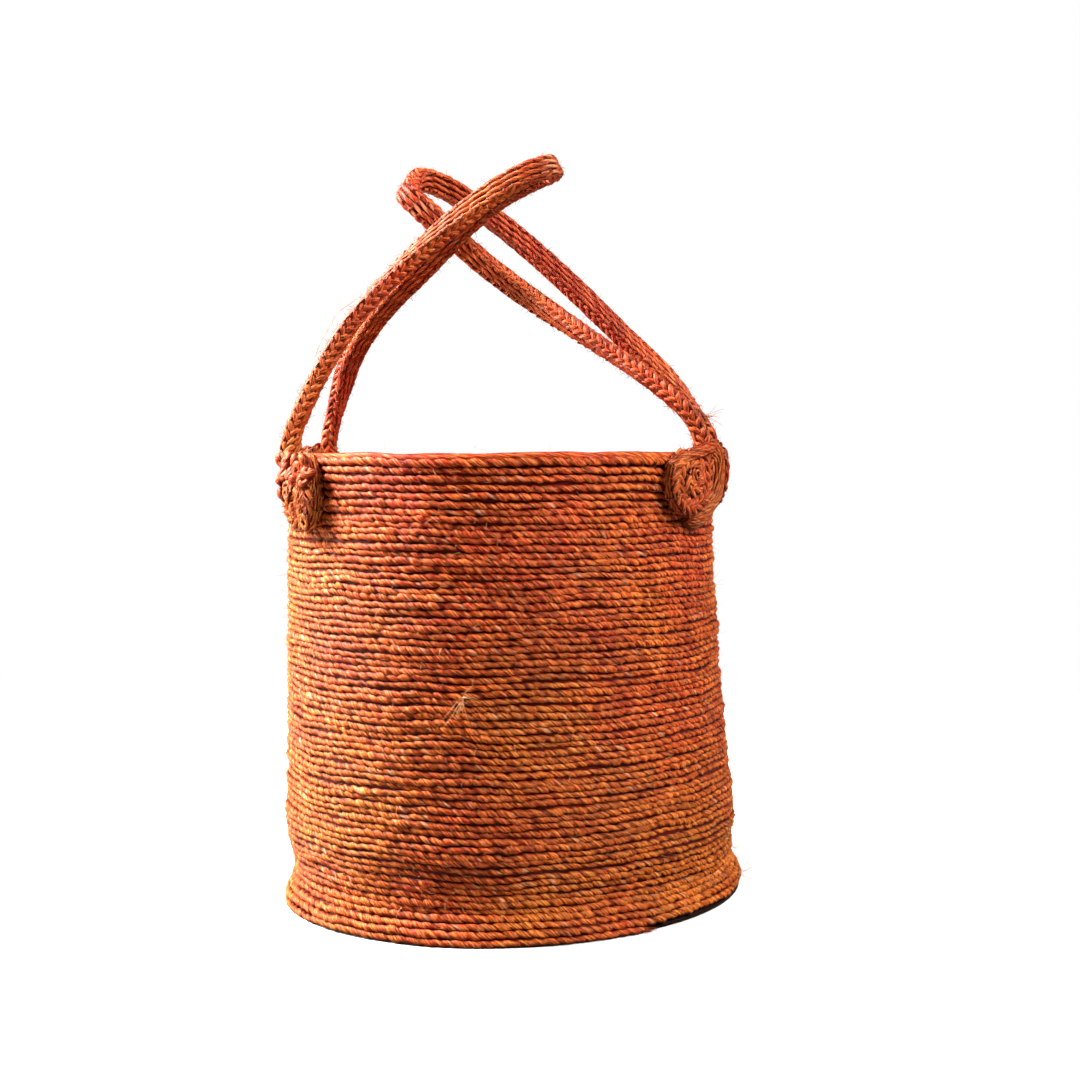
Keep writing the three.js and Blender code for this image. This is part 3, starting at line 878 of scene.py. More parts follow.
def centripetal(points: np.ndarray, per_span: int = 60) -> np.ndarray:
    """Draw a centripetal Catmull-Rom curve through points.

    Args:
        points: Points that the curve passes through.
        per_span: Samples between two of them.

    Returns:
        Points along the curve.
    """
    first, last = 2 * points[0] - points[1], 2 * points[-1] - points[-2]
    spots = np.vstack([first, points, last])
    share = np.linspace(0.0, 1.0, per_span, endpoint=False)[:, None]
    drawn = []
    for a, b, c, d in zip(spots, spots[1:], spots[2:], spots[3:]):
        before, middle, after = (math.sqrt(np.linalg.norm(q - p)) for p, q in ((a, b), (b, c), (c, d)))
        start = ((b - a) / before - (c - a) / (before + middle) + (c - b) / middle) * middle
        end = ((c - b) / middle - (d - b) / (middle + after) + (d - c) / after) * middle
        cube = 2 * b - 2 * c + start + end
        square = -3 * b + 3 * c - 2 * start - end
        drawn.append(b + start * share + square * share**2 + cube * share**3)
    return np.vstack([*drawn, points[-1:]])


def resample(points: np.ndarray, run: np.ndarray, stations: np.ndarray) -> np.ndarray:
    """Return the values of a line at stations along its run."""
    return np.stack([np.interp(stations, run, points[:, axis]) for axis in range(points.shape[1])], axis=1)


@dataclass(frozen=True)
class Foot:
    """Where a handle meets the rim, and how its coil lies on the wall."""

    name: str
    azimuth: float
    forward: int
    drop: float = 15.0 * MM
    radius: float = 22.0 * MM
    stretch: float = 1.0
    lean: float = 0.0
    sink: float = 2.6 * MM
    sink_from: float = 12.0 * MM


LEFT_FRONT = Foot("left_front", 206.5, 1, drop=21.5 * MM, radius=20.5 * MM, stretch=1.28, lean=0.32)
LEFT_BACK = Foot("left_back", 148.7, 1, drop=14.0 * MM, sink=5.0 * MM, sink_from=2.0 * MM)
RIGHT_FRONT = Foot("right_front", -28.5, -1, drop=16.5 * MM)
RIGHT_BACK = Foot("right_back", 11.5, -1, drop=13.5 * MM, radius=20.5 * MM, sink=5.5 * MM,
                  sink_from=2.0 * MM)


@dataclass(frozen=True)
class Coil:
    """The flat pattern of a coiled plait, laid on the wall below a foot."""

    shell: Shell
    foot: Foot
    spacing: float = 12.2 * MM
    offset: float = 5.55 * MM
    entry_points: int = 16
    turn_points: int = 150

    @property
    def turns(self) -> float:
        """Turns from the entry to the middle."""
        return (self.foot.radius - MM) / self.spacing

    def place(self, along: np.ndarray, up: np.ndarray, outward: float | np.ndarray) -> np.ndarray:
        """Put a point of the pattern on the wall.

        Args:
            along: Distance from the coil's middle toward the front.
            up: Distance upward from it.
            outward: Distance off the wall, from the plait's middle.

        Returns:
            Points.
        """
        reach = self.shell.rim_radius + self.offset
        middle = self.foot.azimuth + self.foot.forward * math.degrees(self.foot.radius / reach)
        sideways = along - self.foot.lean * np.minimum(up, 0.0)
        azimuth = middle + self.foot.forward * np.degrees(sideways / reach)
        height = self.shell.rim_top - self.foot.drop + self.foot.stretch * up
        outward = outward - self.foot.sink * smoothstep(self.foot.sink_from, 28 * MM, -np.asarray(up))
        points = self.shell.point(azimuth, np.minimum(height, self.shell.rim_top), self.offset + outward)
        points[..., 2] = height
        return points

    def pattern(self) -> tuple[np.ndarray, np.ndarray]:
        """Return the pattern's two coordinates from the entry under the foot to the middle."""
        entry_top = self.foot.drop / self.foot.stretch
        entry = np.linspace(entry_top, 0.0, self.entry_points, endpoint=False)
        turn = np.linspace(0.0, self.turns, self.turn_points)
        radius = self.foot.radius - self.spacing * turn
        angle = math.pi + math.tau * turn
        along = np.concatenate([np.full(self.entry_points, -self.foot.radius), radius * np.cos(angle)])
        up = np.concatenate([entry, radius * np.sin(angle)])
        return along, up

    def outward(self, along: np.ndarray, up: np.ndarray) -> np.ndarray:
        """Return the direction off the wall at points of the pattern."""
        return unit(self.place(along, up, MM) - self.place(along, up, 0.0))

    def swell(self, along: np.ndarray, up: np.ndarray) -> np.ndarray:
        """Return how much the pattern is stretched square to its own run."""
        step_along, step_up = np.gradient(along), np.gradient(up)
        step = np.hypot(step_along, step_up)
        aside = self.place(along + MM * step_up / step, up - MM * step_along / step, 0.0)
        return np.linalg.norm(aside - self.place(along, up, 0.0), axis=1) / MM


@dataclass
class Plait:
    """A plait's middle line with its section: width across, thickness through."""

    points: np.ndarray
    across: np.ndarray
    through: np.ndarray
    run: np.ndarray
    width: np.ndarray
    thickness: np.ndarray

    def at(self, stations: np.ndarray) -> Plait:
        """Return the plait's values at stations along its run."""
        return Plait(resample(self.points, self.run, stations),
                     unit(resample(self.across, self.run, stations)),
                     unit(resample(self.through, self.run, stations)), stations,
                     np.interp(stations, self.run, self.width),
                     np.interp(stations, self.run, self.thickness))

    def spot(self, across: float | np.ndarray, through: float | np.ndarray) -> np.ndarray:
        """Return points at distances across and through the section."""
        across, through = np.asarray(across), np.asarray(through)
        return (self.points + self.across * np.expand_dims(across, -1)
                + self.through * np.expand_dims(through, -1))


@dataclass
class PlaitWork:
    """How a plait is made up: cords along its two broad faces, crossed strands along its edges."""

    cord: CordSpec = CordSpec(thickness=4.3 * MM, lay=27.0 * MM, unevenness=0.2, openness=0.11)
    strand: CordSpec = CordSpec(thickness=4.4 * MM, lay=45.0 * MM, plies=1, sides=8, unevenness=0.24,
                                openness=0.0)
    full_width: float = 15.0 * MM
    coil_width: float = 9.6 * MM
    cord_places: tuple[float, ...] = (-0.37, -0.125, 0.125, 0.37)
    cross_pitch: float = 6.6 * MM
    step: float = 1.8 * MM
    tuck: float = 1.3 * MM
    sleeve_step: float = 3 * MM

    def freedom(self, part: Plait) -> np.ndarray:
        """Return 0 where the plait is pressed into a coil and 1 where it is a free strap."""
        return np.clip((part.width - self.coil_width) / (self.full_width - self.coil_width), 0.0, 1.0)

    def rails(self, plait: Plait, low: float, high: float) -> list[Strand]:
        """Lay the lengthwise cords between two places along the run."""
        part = plait.at(np.arange(low, high + self.step, self.step))
        girth = 0.6 + 0.4 * self.freedom(part)
        strands = []
        for number, (face, place) in enumerate(product((-1.0, 1.0), self.cord_places)):
            settled = 0.5 * part.thickness - 0.5 * self.cord.thickness * girth
            settled -= 0.5 * MM * (abs(place) > 0.25)
            wave = 0.25 * MM * drift(part.run - low + number, 9 * MM, 40 + number)
            points = part.spot(place * part.width, face * (settled + wave))
            swell = girth * (1.0 + 0.08 * drift(part.run - low + number, 13 * MM, 60 + number))
            strands.append(make_strand(points, part.through * face, swell,
                                       start=part.run[0] + 0.0031 * number))
        return strands

    def crossings(self, plait: Plait, low: float, high: float) -> list[Strand]:
        """Lay the crossed strands between two places along the run.

        They point toward the front foot, and the two slants alternate by half a pitch.
        """
        share = np.linspace(0.0, 1.0, 8)
        lift = np.sin(np.pi * np.clip(0.06 + 0.9 * share, 0.0, 1.0))
        chance = np.random.default_rng(17)
        strands = []
        first = math.ceil(low / self.cross_pitch)
        for count in range(first, math.ceil(high / self.cross_pitch)):
            for side in (-1.0, 1.0):
                for slant in (-1.0, 1.0):
                    shift, swell = chance.uniform(-0.3, 0.3) * MM, chance.uniform(0.92, 1.1)
                    start = (count + 0.25 * slant) * self.cross_pitch + shift
                    part = plait.at(start + 1.15 * self.cross_pitch * (1.0 - share))
                    free = self.freedom(part)
                    through = slant * part.thickness * (0.42 - 0.06 * free - (0.48 - 0.06 * free) * share)
                    across = 0.5 * part.width - 0.4 * self.cord.thickness - self.tuck * (1.0 - lift)
                    across += (1.0 - free) * 0.9 * MM
                    girth = swell * (0.78 + 0.26 * lift) * (1.08 - 0.06 * free)
                    strands.append(make_strand(part.spot(side * across, through), part.across * side,
                                               girth, start=0.004 * count))
        return strands

    def sleeve(self, plait: Plait, low: float, high: float, scale: float) -> np.ndarray:
        """Return the rings of an eight-sided sleeve round the plait's middle line.

        Args:
            plait: The plait.
            low: Where the sleeve starts along the run.
            high: Where it ends.
            scale: Its size, where 1 reaches the plait's own faces.

        Returns:
            Points, as ring, corner, coordinate.
        """
        part = plait.at(np.arange(low, high + self.sleeve_step, self.sleeve_step))
        corners = [(0.5, 0.35), (0.35, 0.5), (-0.35, 0.5), (-0.5, 0.35),
                   (-0.5, -0.35), (-0.35, -0.5), (0.35, -0.5), (0.5, -0.35)]
        return np.stack([part.spot(scale * a * part.width, scale * t * part.thickness)
                         for a, t in corners], axis=1)


def fuzz_tree() -> NodeModifier:
    """Build the tree that scatters bent stray fibres over a surface.

    Returns:
        The tree. Each fibre leaves the surface at a slant, in a direction of its own.
    """
    made = NodeModifier("stray_fibres", ("Density", "Length", "Radius"), "Seed")
    points = made.add("GeometryNodeDistributePointsOnFaces",
                      {"Mesh": made.value("Geometry"), "Density": made.value("Density"),
                       "Seed": made.value("Seed")})
    bend = made.add("GeometryNodeCurveQuadraticBezier",
                    {"Resolution": 4, "Start": (0.0, 0.0, 0.0), "Middle": (0.1, 0.0, 0.55),
                     "End": (0.6, 0.12, 0.9)})
    along = made.add("GeometryNodeSplineParameter").outputs["Factor"]
    thin = made.math("MULTIPLY_ADD", along, -0.6, 1.0)
    ring = made.add("GeometryNodeCurvePrimitiveCircle", {"Resolution": 3, "Radius": 1.0}, mode="RADIUS")
    slim = made.math("DIVIDE", made.value("Radius"), made.value("Length"))
    hair = made.add("GeometryNodeCurveToMesh",
                    {"Curve": bend.outputs[0], "Profile Curve": ring.outputs["Curve"],
                     "Scale": made.math("MULTIPLY", thin, slim), "Fill Caps": True})
    way = made.add("FunctionNodeAlignRotationToVector", {"Vector": points.outputs["Normal"]},
                   axis="Z").outputs[0]
    chance = made.add("FunctionNodeRandomValue",
                      {0: (0.35, -0.5, 0.0), 1: (1.35, 0.5, math.tau), "Seed": made.value("Seed")},
                      data_type="FLOAT_VECTOR")
    lean = made.add("ShaderNodeSeparateXYZ", {0: chance.outputs[0]})
    for axes in ("Z", "XY"):
        turn = made.add("ShaderNodeCombineXYZ", {axis: lean.outputs[axis] for axis in axes}).outputs[0]
        way = made.add("FunctionNodeRotateRotation", {"Rotation": way, "Rotate By": turn},
                       rotation_space="LOCAL").outputs[0]
    size = made.add("FunctionNodeRandomValue", {2: 0.35, 3: 1.6, "Seed": made.value("Seed")},
                    data_type="FLOAT")
    placed = made.add("GeometryNodeInstanceOnPoints",
                      {"Points": points.outputs["Points"], "Instance": hair.outputs[0], "Rotation": way,
                       "Scale": made.math("MULTIPLY", size.outputs[1], made.value("Length"))})
    made.close(placed.outputs[0])
    return made


@dataclass
class Fuzz:
    """Stray fibres over the cords. They are drawn a little thicker than real, so that they show."""

    finish: FuzzFinish
    radius: float = 0.075 * MM
    tree: NodeModifier = field(default_factory=fuzz_tree)
    material: bpy.types.Material = field(init=False)

    def __post_init__(self) -> None:
        """Make the fibres' finish once for all pieces."""
        self.material = self.finish.material()

    def scatter(self, name: str, rings: np.ndarray, hoop: bool, density: float, length: float,
                seed: int) -> bpy.types.Object:
        """Scatter fibres over a surface that is given as rings of points.

        Args:
            name: Name of the piece.
            rings: Points, as ring, corner, coordinate.
            hoop: Whether the last ring meets the first one.
            density: Fibres per square metre.
            length: Usual length.
            seed: Fixed seed.

        Returns:
            The piece.
        """
        surface = tube_mesh(f"{name}_surface", rings, self.material, hoop)
        mesh = surface.data
        bpy.data.objects.remove(surface)
        return self.tree.run(name, mesh, {"Density": density, "Length": length, "Radius": self.radius,
                                          "Seed": seed, "Material": self.material})


@dataclass(frozen=True)
class Tuft:
    """A bunch of loose fibres that stand out of the cord at one spot."""

    place: tuple[float, float, float]
    toward: tuple[float, float, float]
    length: float
    count: int = 9
    spread: float = 0.5
    thickness: float = 0.3 * MM


@dataclass
class LooseEnds:
    """Tufts and single long fibres, laid up as thin strands."""

    walk: Ropewalk
    material: bpy.types.Material

    def strands(self, tuft: Tuft, seed: int) -> list[Strand]:
        """Return the bent fibres of one tuft.

        Args:
            tuft: The tuft.
            seed: Fixed seed.

        Returns:
            One strand for each fibre, thinning toward its tip.
        """
        chance = np.random.default_rng(seed)
        share = np.linspace(0.0, 1.0, 7)[:, None]
        made = []
        for _ in range(tuft.count):
            aim = unit(np.array(tuft.toward) + chance.normal(0.0, tuft.spread, 3))
            bend = chance.normal(0.0, 0.3, 3)
            reach = tuft.length * chance.uniform(0.45, 1.15)
            start = np.array(tuft.place) + chance.normal(0.0, 0.7, 3) * MM
            points = start + reach * (share * aim + share**2 * bend)
            points[:, 2] = np.maximum(points[:, 2], tuft.thickness)
            made.append(make_strand(points, np.tile([0.31, 0.22, 0.925], (7, 1)), 1.0 - 0.6 * share[:, 0]))
        return made

    def build(self, name: str, tufts: tuple[Tuft, ...], seed: int) -> bpy.types.Object:
        """Build tufts of one thickness as one piece."""
        strands = [strand for number, tuft in enumerate(tufts)
                   for strand in self.strands(tuft, seed + number)]
        return self.thread(name, strands, tufts[0].thickness)

    def thread(self, name: str, strands: list[Strand], thickness: float) -> bpy.types.Object:
        """Lay up thin strands as one piece."""
        spec = CordSpec(thickness=thickness, lay=30.0 * MM, plies=1, sides=4, unevenness=0.1, openness=0.0)
        return self.walk.lay_up(name, strands, spec, self.material)


@dataclass
class Handle:
    """One plaited loop from coil to coil: two coils on the wall, two soft feet and the free strap."""

    name: str
    shell: Shell
    walk: Ropewalk
    fuzz: Fuzz
    finish: JuteFinish
    coil_finish: JuteFinish
    foot_finish: JuteFinish
    front: Foot
    back: Foot
    tip: tuple[float, float, float]
    lanes: tuple[float, float]
    front_shares: tuple[tuple[float, float, float], ...]
    back_shares: tuple[tuple[float, float, float], ...]
    front_turn: tuple[tuple[float, float], tuple[float, float]]
    back_turn: tuple[tuple[float, float], tuple[float, float]]
    work: PlaitWork = field(default_factory=PlaitWork)
    hinge_height: float = 325.5 * MM
    hinge_offset: float = 4.0 * MM
    width: float = 15.0 * MM
    tip_swell: float = 0.0
    thickness: float = 12.0 * MM
    coil_width: float = 9.6 * MM
    coil_thickness: float = 12.2 * MM
    align: float = 45.0 * MM
    below_hinge: float = 8.0 * MM
    above_hinge: float = 22.0 * MM
    fuzz_density: float = 60000.0
    fuzz_length: float = 2.8 * MM
    core_share: float = 0.68
    skin_share: float = 0.96
    strap_points: int = 1025
    even_out: int = 96
    soften_reach: float = 16.0 * MM
    soften_rounds: int = 12
    roll_from: float = 2.0 * MM
    roll_to: float = 24.0 * MM
    station_step: float = 1.2 * MM

    def hinge(self, foot: Foot) -> np.ndarray:
        """Return the point where a leg bends."""
        point = self.shell.point(foot.azimuth, self.shell.rim_top, self.hinge_offset)
        point[2] = self.hinge_height
        return point

    def leg(self, foot: Foot, lane: float, shares: tuple, turn: tuple) -> np.ndarray:
        """Return the points of one leg, from its hinge to just before the tip."""
        hinge, tip = self.hinge(foot), np.array(self.tip)
        spots = [(side, rise, hinge[1] + (lane - hinge[1]) * depth) for side, rise, depth in shares]
        spots += [(*share, y) for share, y in zip(turn, (lane, lane + 0.3 * (tip[1] - lane)))]
        return np.array([hinge, *([hinge[0] + (tip[0] - hinge[0]) * side, y,
                                   hinge[2] + (tip[2] - hinge[2]) * rise] for side, rise, y in spots)])

    def strap(self) -> tuple[np.ndarray, np.ndarray]:
        """Return the free strap's middle line from hinge to hinge, and its across directions."""
        front = self.leg(self.front, self.lanes[0], self.front_shares, self.front_turn)
        back = self.leg(self.back, self.lanes[1], self.back_shares, self.back_turn)
        drawn = centripetal(np.vstack([front, [self.tip], back[::-1]]))
        run = run_of(drawn)
        count, reach = self.strap_points, self.even_out
        points = resample(drawn, run, np.linspace(0.0, run[-1], count))
        tangent = unit(np.gradient(points, axis=0))
        on_front = np.arange(count) <= count // 2
        way = np.where(on_front, 1.0, -1.0)
        normal = np.stack([way * tangent[:, 2], np.zeros(count), -way * tangent[:, 0]], axis=1)
        padded = np.vstack([np.repeat(normal[:1], reach, axis=0), normal,
                            np.repeat(normal[-1:], reach, axis=0)])
        total = np.cumsum(np.vstack([np.zeros(3), padded]), axis=0)
        window = 2 * reach + 1
        normal = unit(total[window:] - total[:-window])
        across = unit(np.cross(normal, tangent))
        axis = unit(points[-1] - points[0])
        toward = np.where((across @ axis) < 0, -1.0, 1.0)[:, None] * axis
        run = run_of(points)
        from_foot = np.minimum(run, run[-1] - run)
        free = smoothstep(0.0, self.align, from_foot)[:, None]
        across = unit(across * free + toward * (1.0 - free))
        share = from_foot / from_foot.max()
        front_roll = smoothstep(0.2, 1.05, share)
        back_roll = 0.5 * smoothstep(0.04, 0.22, share) + 0.5 * smoothstep(0.3, 1.0, share)
        roll = 0.5 * np.pi * np.where(on_front, front_roll, back_roll)[:, None]
        return points, unit(across * np.cos(roll) + np.cross(tangent, across) * np.sin(roll))

    def coil(self, foot: Foot) -> tuple[np.ndarray, np.ndarray, np.ndarray]:
        """Return a coil's line from its middle to its entry, its across directions and its swell."""
        coil = Coil(self.shell, foot)
        along, up = (values[::-1] for values in coil.pattern())
        return coil.place(along, up, 0.0), coil.outward(along, up), coil.swell(along, up)

    def plait(self) -> tuple[Plait, float, float]:
        """Join coils and strap into one plait.

        Returns:
            The plait, and the run at its front and back hinges.
        """
        first, first_across, first_swell = self.coil(self.front)
        strap, strap_across = self.strap()
        last, last_across, last_swell = self.coil(self.back)
        swell = np.concatenate([first_swell, np.ones(len(strap)), last_swell[::-1]])
        points = np.vstack([first, strap, last[::-1]])
        run = run_of(points)
        hinge_a, hinge_b = run[len(first)], run[len(first) + len(strap) - 1]
        stations = np.arange(0.0, run[-1], self.station_step)
        smooth = resample(points, run, stations)
        from_hinge = np.minimum(abs(stations - hinge_a), abs(stations - hinge_b))
        near = (from_hinge < self.soften_reach)[:, None]
        for _ in range(self.soften_rounds):
            relaxed = smooth.copy()
            relaxed[1:-1] = 0.25 * smooth[:-2] + 0.5 * smooth[1:-1] + 0.25 * smooth[2:]
            smooth = np.where(near, relaxed, smooth)
        across = np.vstack([first_across, strap_across, last_across[::-1]])
        across = resample(across, run, stations)
        coil_a = np.interp(stations, [hinge_a - self.roll_to, hinge_a - self.roll_from], [1.0, 0.0])
        coil_b = np.interp(stations, [hinge_b + self.roll_from, hinge_b + self.roll_to], [0.0, 1.0])
        rolled = smoothstep(0.0, 1.0, np.maximum(coil_a, coil_b))
        held_a = resample(first_across, run[:len(first)], np.minimum(stations, run[len(first) - 1]))
        held_b = resample(last_across[::-1], run[-len(last):], np.maximum(stations, run[-len(last)]))
        free_across = np.where((stations < hinge_a)[:, None], strap_across[0],
                               np.where((stations > hinge_b)[:, None], strap_across[-1], across))
        held = np.where((stations < 0.5 * (hinge_a + hinge_b))[:, None], held_a, held_b)
        across = unit(free_across * np.cos(rolled * np.pi / 2)[:, None]
                      + held * np.sin(rolled * np.pi / 2)[:, None])
        tangent = unit(np.gradient(smooth, axis=0))
        through = unit(np.cross(tangent, across))
        across = np.cross(through, tangent)
        width = self.width + (self.coil_width - self.width) * rolled
        tip_run = 0.5 * (hinge_a + hinge_b)
        width *= 1.0 + self.tip_swell * (1.0 - smoothstep(30 * MM, 75 * MM, abs(stations - tip_run)))
        thickness = self.thickness + (self.coil_thickness - self.thickness) * rolled
        thickness *= 1.0 + (np.interp(stations, run, swell) - 1.0) * rolled
        end = np.minimum(stations, stations[-1] - stations)
        thickness *= 0.7 + 0.3 * smoothstep(0.0, 12 * MM, end)
        return Plait(smooth, across, through, stations, width, thickness), hinge_a, hinge_b

    def part(self, name: str, plait: Plait, low: float, high: float,
             material: bpy.types.Material) -> list[bpy.types.Object]:
        """Make the cords, the crossed strands, the core and the stray fibres of one stretch."""
        work = self.work
        cords = self.walk.lay_up(name, work.rails(plait, low, high), work.cord, material)
        edges = self.walk.lay_up(f"{name}_edges", work.crossings(plait, low, high), work.strand, material)
        filling = work.sleeve(plait, low, high, self.core_share)
        # With no shade mask, the core takes its finish's full painted shade.
        core = tube_mesh(f"{name}_core", filling, material, hoop=False)
        skin = work.sleeve(plait, low, high, self.skin_share)
        fuzz = self.fuzz.scatter(f"{name}_fuzz", skin, False, self.fuzz_density, self.fuzz_length, 23)
        return [cords, edges, core, fuzz]

    def fix(self, pieces: list[bpy.types.Object], body: str, stands_for: str) -> None:
        """Hand one stretch to a body. Its cords, which come first, stand for the CAD node."""
        settle(pieces[0], body, "handle_jute", stands_for)
        for piece in pieces[1:]:
            settle(piece, body, "handle_jute")

    def bend(self, piece: bpy.types.Object, foot: Foot) -> None:
        """Bake the piece's placement into its mesh."""
        hinge = Vector(self.hinge(foot))
        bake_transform(piece)

    def build(self) -> None:
        """Build the coils, the feet and the strap."""
        material = self.finish.material()
        coil_material = self.coil_finish.material()
        foot_material = self.foot_finish.material()
        plait, hinge_a, hinge_b = self.plait()
        below, above = self.below_hinge, self.above_hinge
        end = plait.run[-1]
        for foot, low, high in ((self.front, 0.0, hinge_a - below), (self.back, hinge_b + below, end)):
            self.fix(self.part(f"{foot.name}_plait_coil", plait, low, high, coil_material), "basket",
                     f"{foot.name}_coil")
        for foot, low, high in ((self.front, hinge_a - below, hinge_a + above),
                                (self.back, hinge_b - above, hinge_b + below)):
            for piece in self.part(f"{foot.name}_plait_foot", plait, low, high, foot_material):
                self.bend(piece, foot)
        self.fix(self.part(f"{self.name}_plait", plait, hinge_a + above, hinge_b - above, material),
                 self.name, self.name)


@dataclass
class CoilWork(Cordage):
    """A sub-assembly of cords that lies on a foot's coil."""

    foot: Foot

    @property
    def coil(self) -> Coil:
        """The pattern of the foot's coil."""
        return Coil(self.shell, self.foot)


@dataclass
class FootBand(CoilWork):
    """The cords that lie over a foot and hold it to the rim, then curl down beside its coil."""

    path: tuple[tuple[float, float, float], ...]
    cords: int = 4
    layers: int = 1
    spread: float = 2.5 * MM
    layer_depth: float = 3.2 * MM
    crown: float = 0.9 * MM
    step: float = 1.8 * MM
    label: str = "foot_band"
    cord: CordSpec = CordSpec(thickness=3.7 * MM, lay=26.0 * MM, sides=8, unevenness=0.22, openness=0.11)

    def build(self) -> None:
        """Build the cords side by side along the path, which is in the coil's own directions."""
        coil = self.coil
        drawn = centripetal(np.array(self.path) * MM)
        run = run_of(drawn)
        pattern = resample(drawn, run, np.arange(0.0, run[-1], self.step))
        along, up, outward = pattern.T
        step = unit(np.stack([np.gradient(along), np.gradient(up)], axis=1))
        gather = np.sin(np.pi * np.linspace(0.0, 1.0, len(along))) ** 0.35
        strands = []
        for layer, number in product(range(self.layers), range(self.cords)):
            aside = (number - 0.5 * (self.cords - 1)) * self.spread
            shift = aside * (0.35 + 0.65 * gather)
            crown = self.crown * (1.0 - (2.0 * number / max(self.cords - 1, 1) - 1.0) ** 2)
            a, u = along + step[:, 1] * shift, up - step[:, 0] * shift
            girth = 0.55 + 0.45 * gather
            off_wall = outward + crown - layer * self.layer_depth
            strands.append(make_strand(coil.place(a, u, off_wall), coil.outward(a, u), girth,
                                       start=0.005 * number))
        self.lay(f"{self.foot.name}_{self.label}", strands, self.cord, "handle_jute")


@dataclass
class Curls(CoilWork):
    """Short ends of the plait, curled into rings on a coil."""

    spots: tuple[tuple[float, float, float], ...]
    spacing: float = 2.6 * MM
    outward: float = 6.3 * MM
    eye: float = 0.8 * MM
    dive: float = 0.0
    label: str = "curls"
    cord: CordSpec = CordSpec(thickness=3.0 * MM, lay=11.0 * MM, unevenness=0.22, openness=0.14)

    def build(self) -> None:
        """Build the rings. A spot is its place along and up on the coil, and its radius, in millimetres."""
        coil = self.coil
        strands = []
        for number, (along, up, size) in enumerate(self.spots):
            share = np.linspace(0.0, 1.0, int(16 * size))
            radius = size * MM + (self.eye - size * MM) * share
            angle = 1.9 * number + math.tau * (size * MM - radius) / self.spacing
            ring_along, ring_up = along * MM + radius * np.cos(angle), up * MM + radius * np.sin(angle)
            outward = self.outward - 0.22 * radius - self.dive * (1.0 - np.sin(np.pi * share))
            strands.append(make_strand(coil.place(ring_along, ring_up, outward),
                                       coil.outward(ring_along, ring_up), start=0.007 * number))
        self.lay(f"{self.foot.name}_{self.label}", strands, self.cord, "handle_jute")


@dataclass
class Stitches(CoilWork):
    """Thin twine over a coil's lowest stretch, drawn into the wall."""

    turn_shares: tuple[float, ...] = (0.13, 0.4)
    half_across: float = 6.5 * MM
    half_depth: float = 5.9 * MM
    twine: CordSpec = CordSpec(thickness=1.6 * MM, lay=5.0 * MM, sides=5)

    def build(self) -> None:
        """Build the stitches of one foot."""
        coil = self.coil
        for number, share in enumerate(self.turn_shares, start=1):
            radius = self.foot.radius - coil.spacing * share
            angle = math.pi + math.tau * share
            sweep = np.radians(np.linspace(-35.0, 90.0, 18))
            reach = radius + self.half_across * np.cos(sweep)
            along, up = math.cos(angle) * reach, math.sin(angle) * reach
            points = coil.place(along, up, self.half_depth * np.sin(sweep))
            strand = make_strand(points, coil.outward(along, up))
            self.lay(f"{self.foot.name}_twine_{number}", [strand], self.twine, "twine_jute",
                     f"{self.foot.name}_stitch_{number}")


@dataclass(frozen=True)
class Lamp:
    """A soft square lamp: where it hangs, the side of its face in metres and its power in watts."""

    name: str
    place: tuple[float, float, float]
    size: float
    power: float


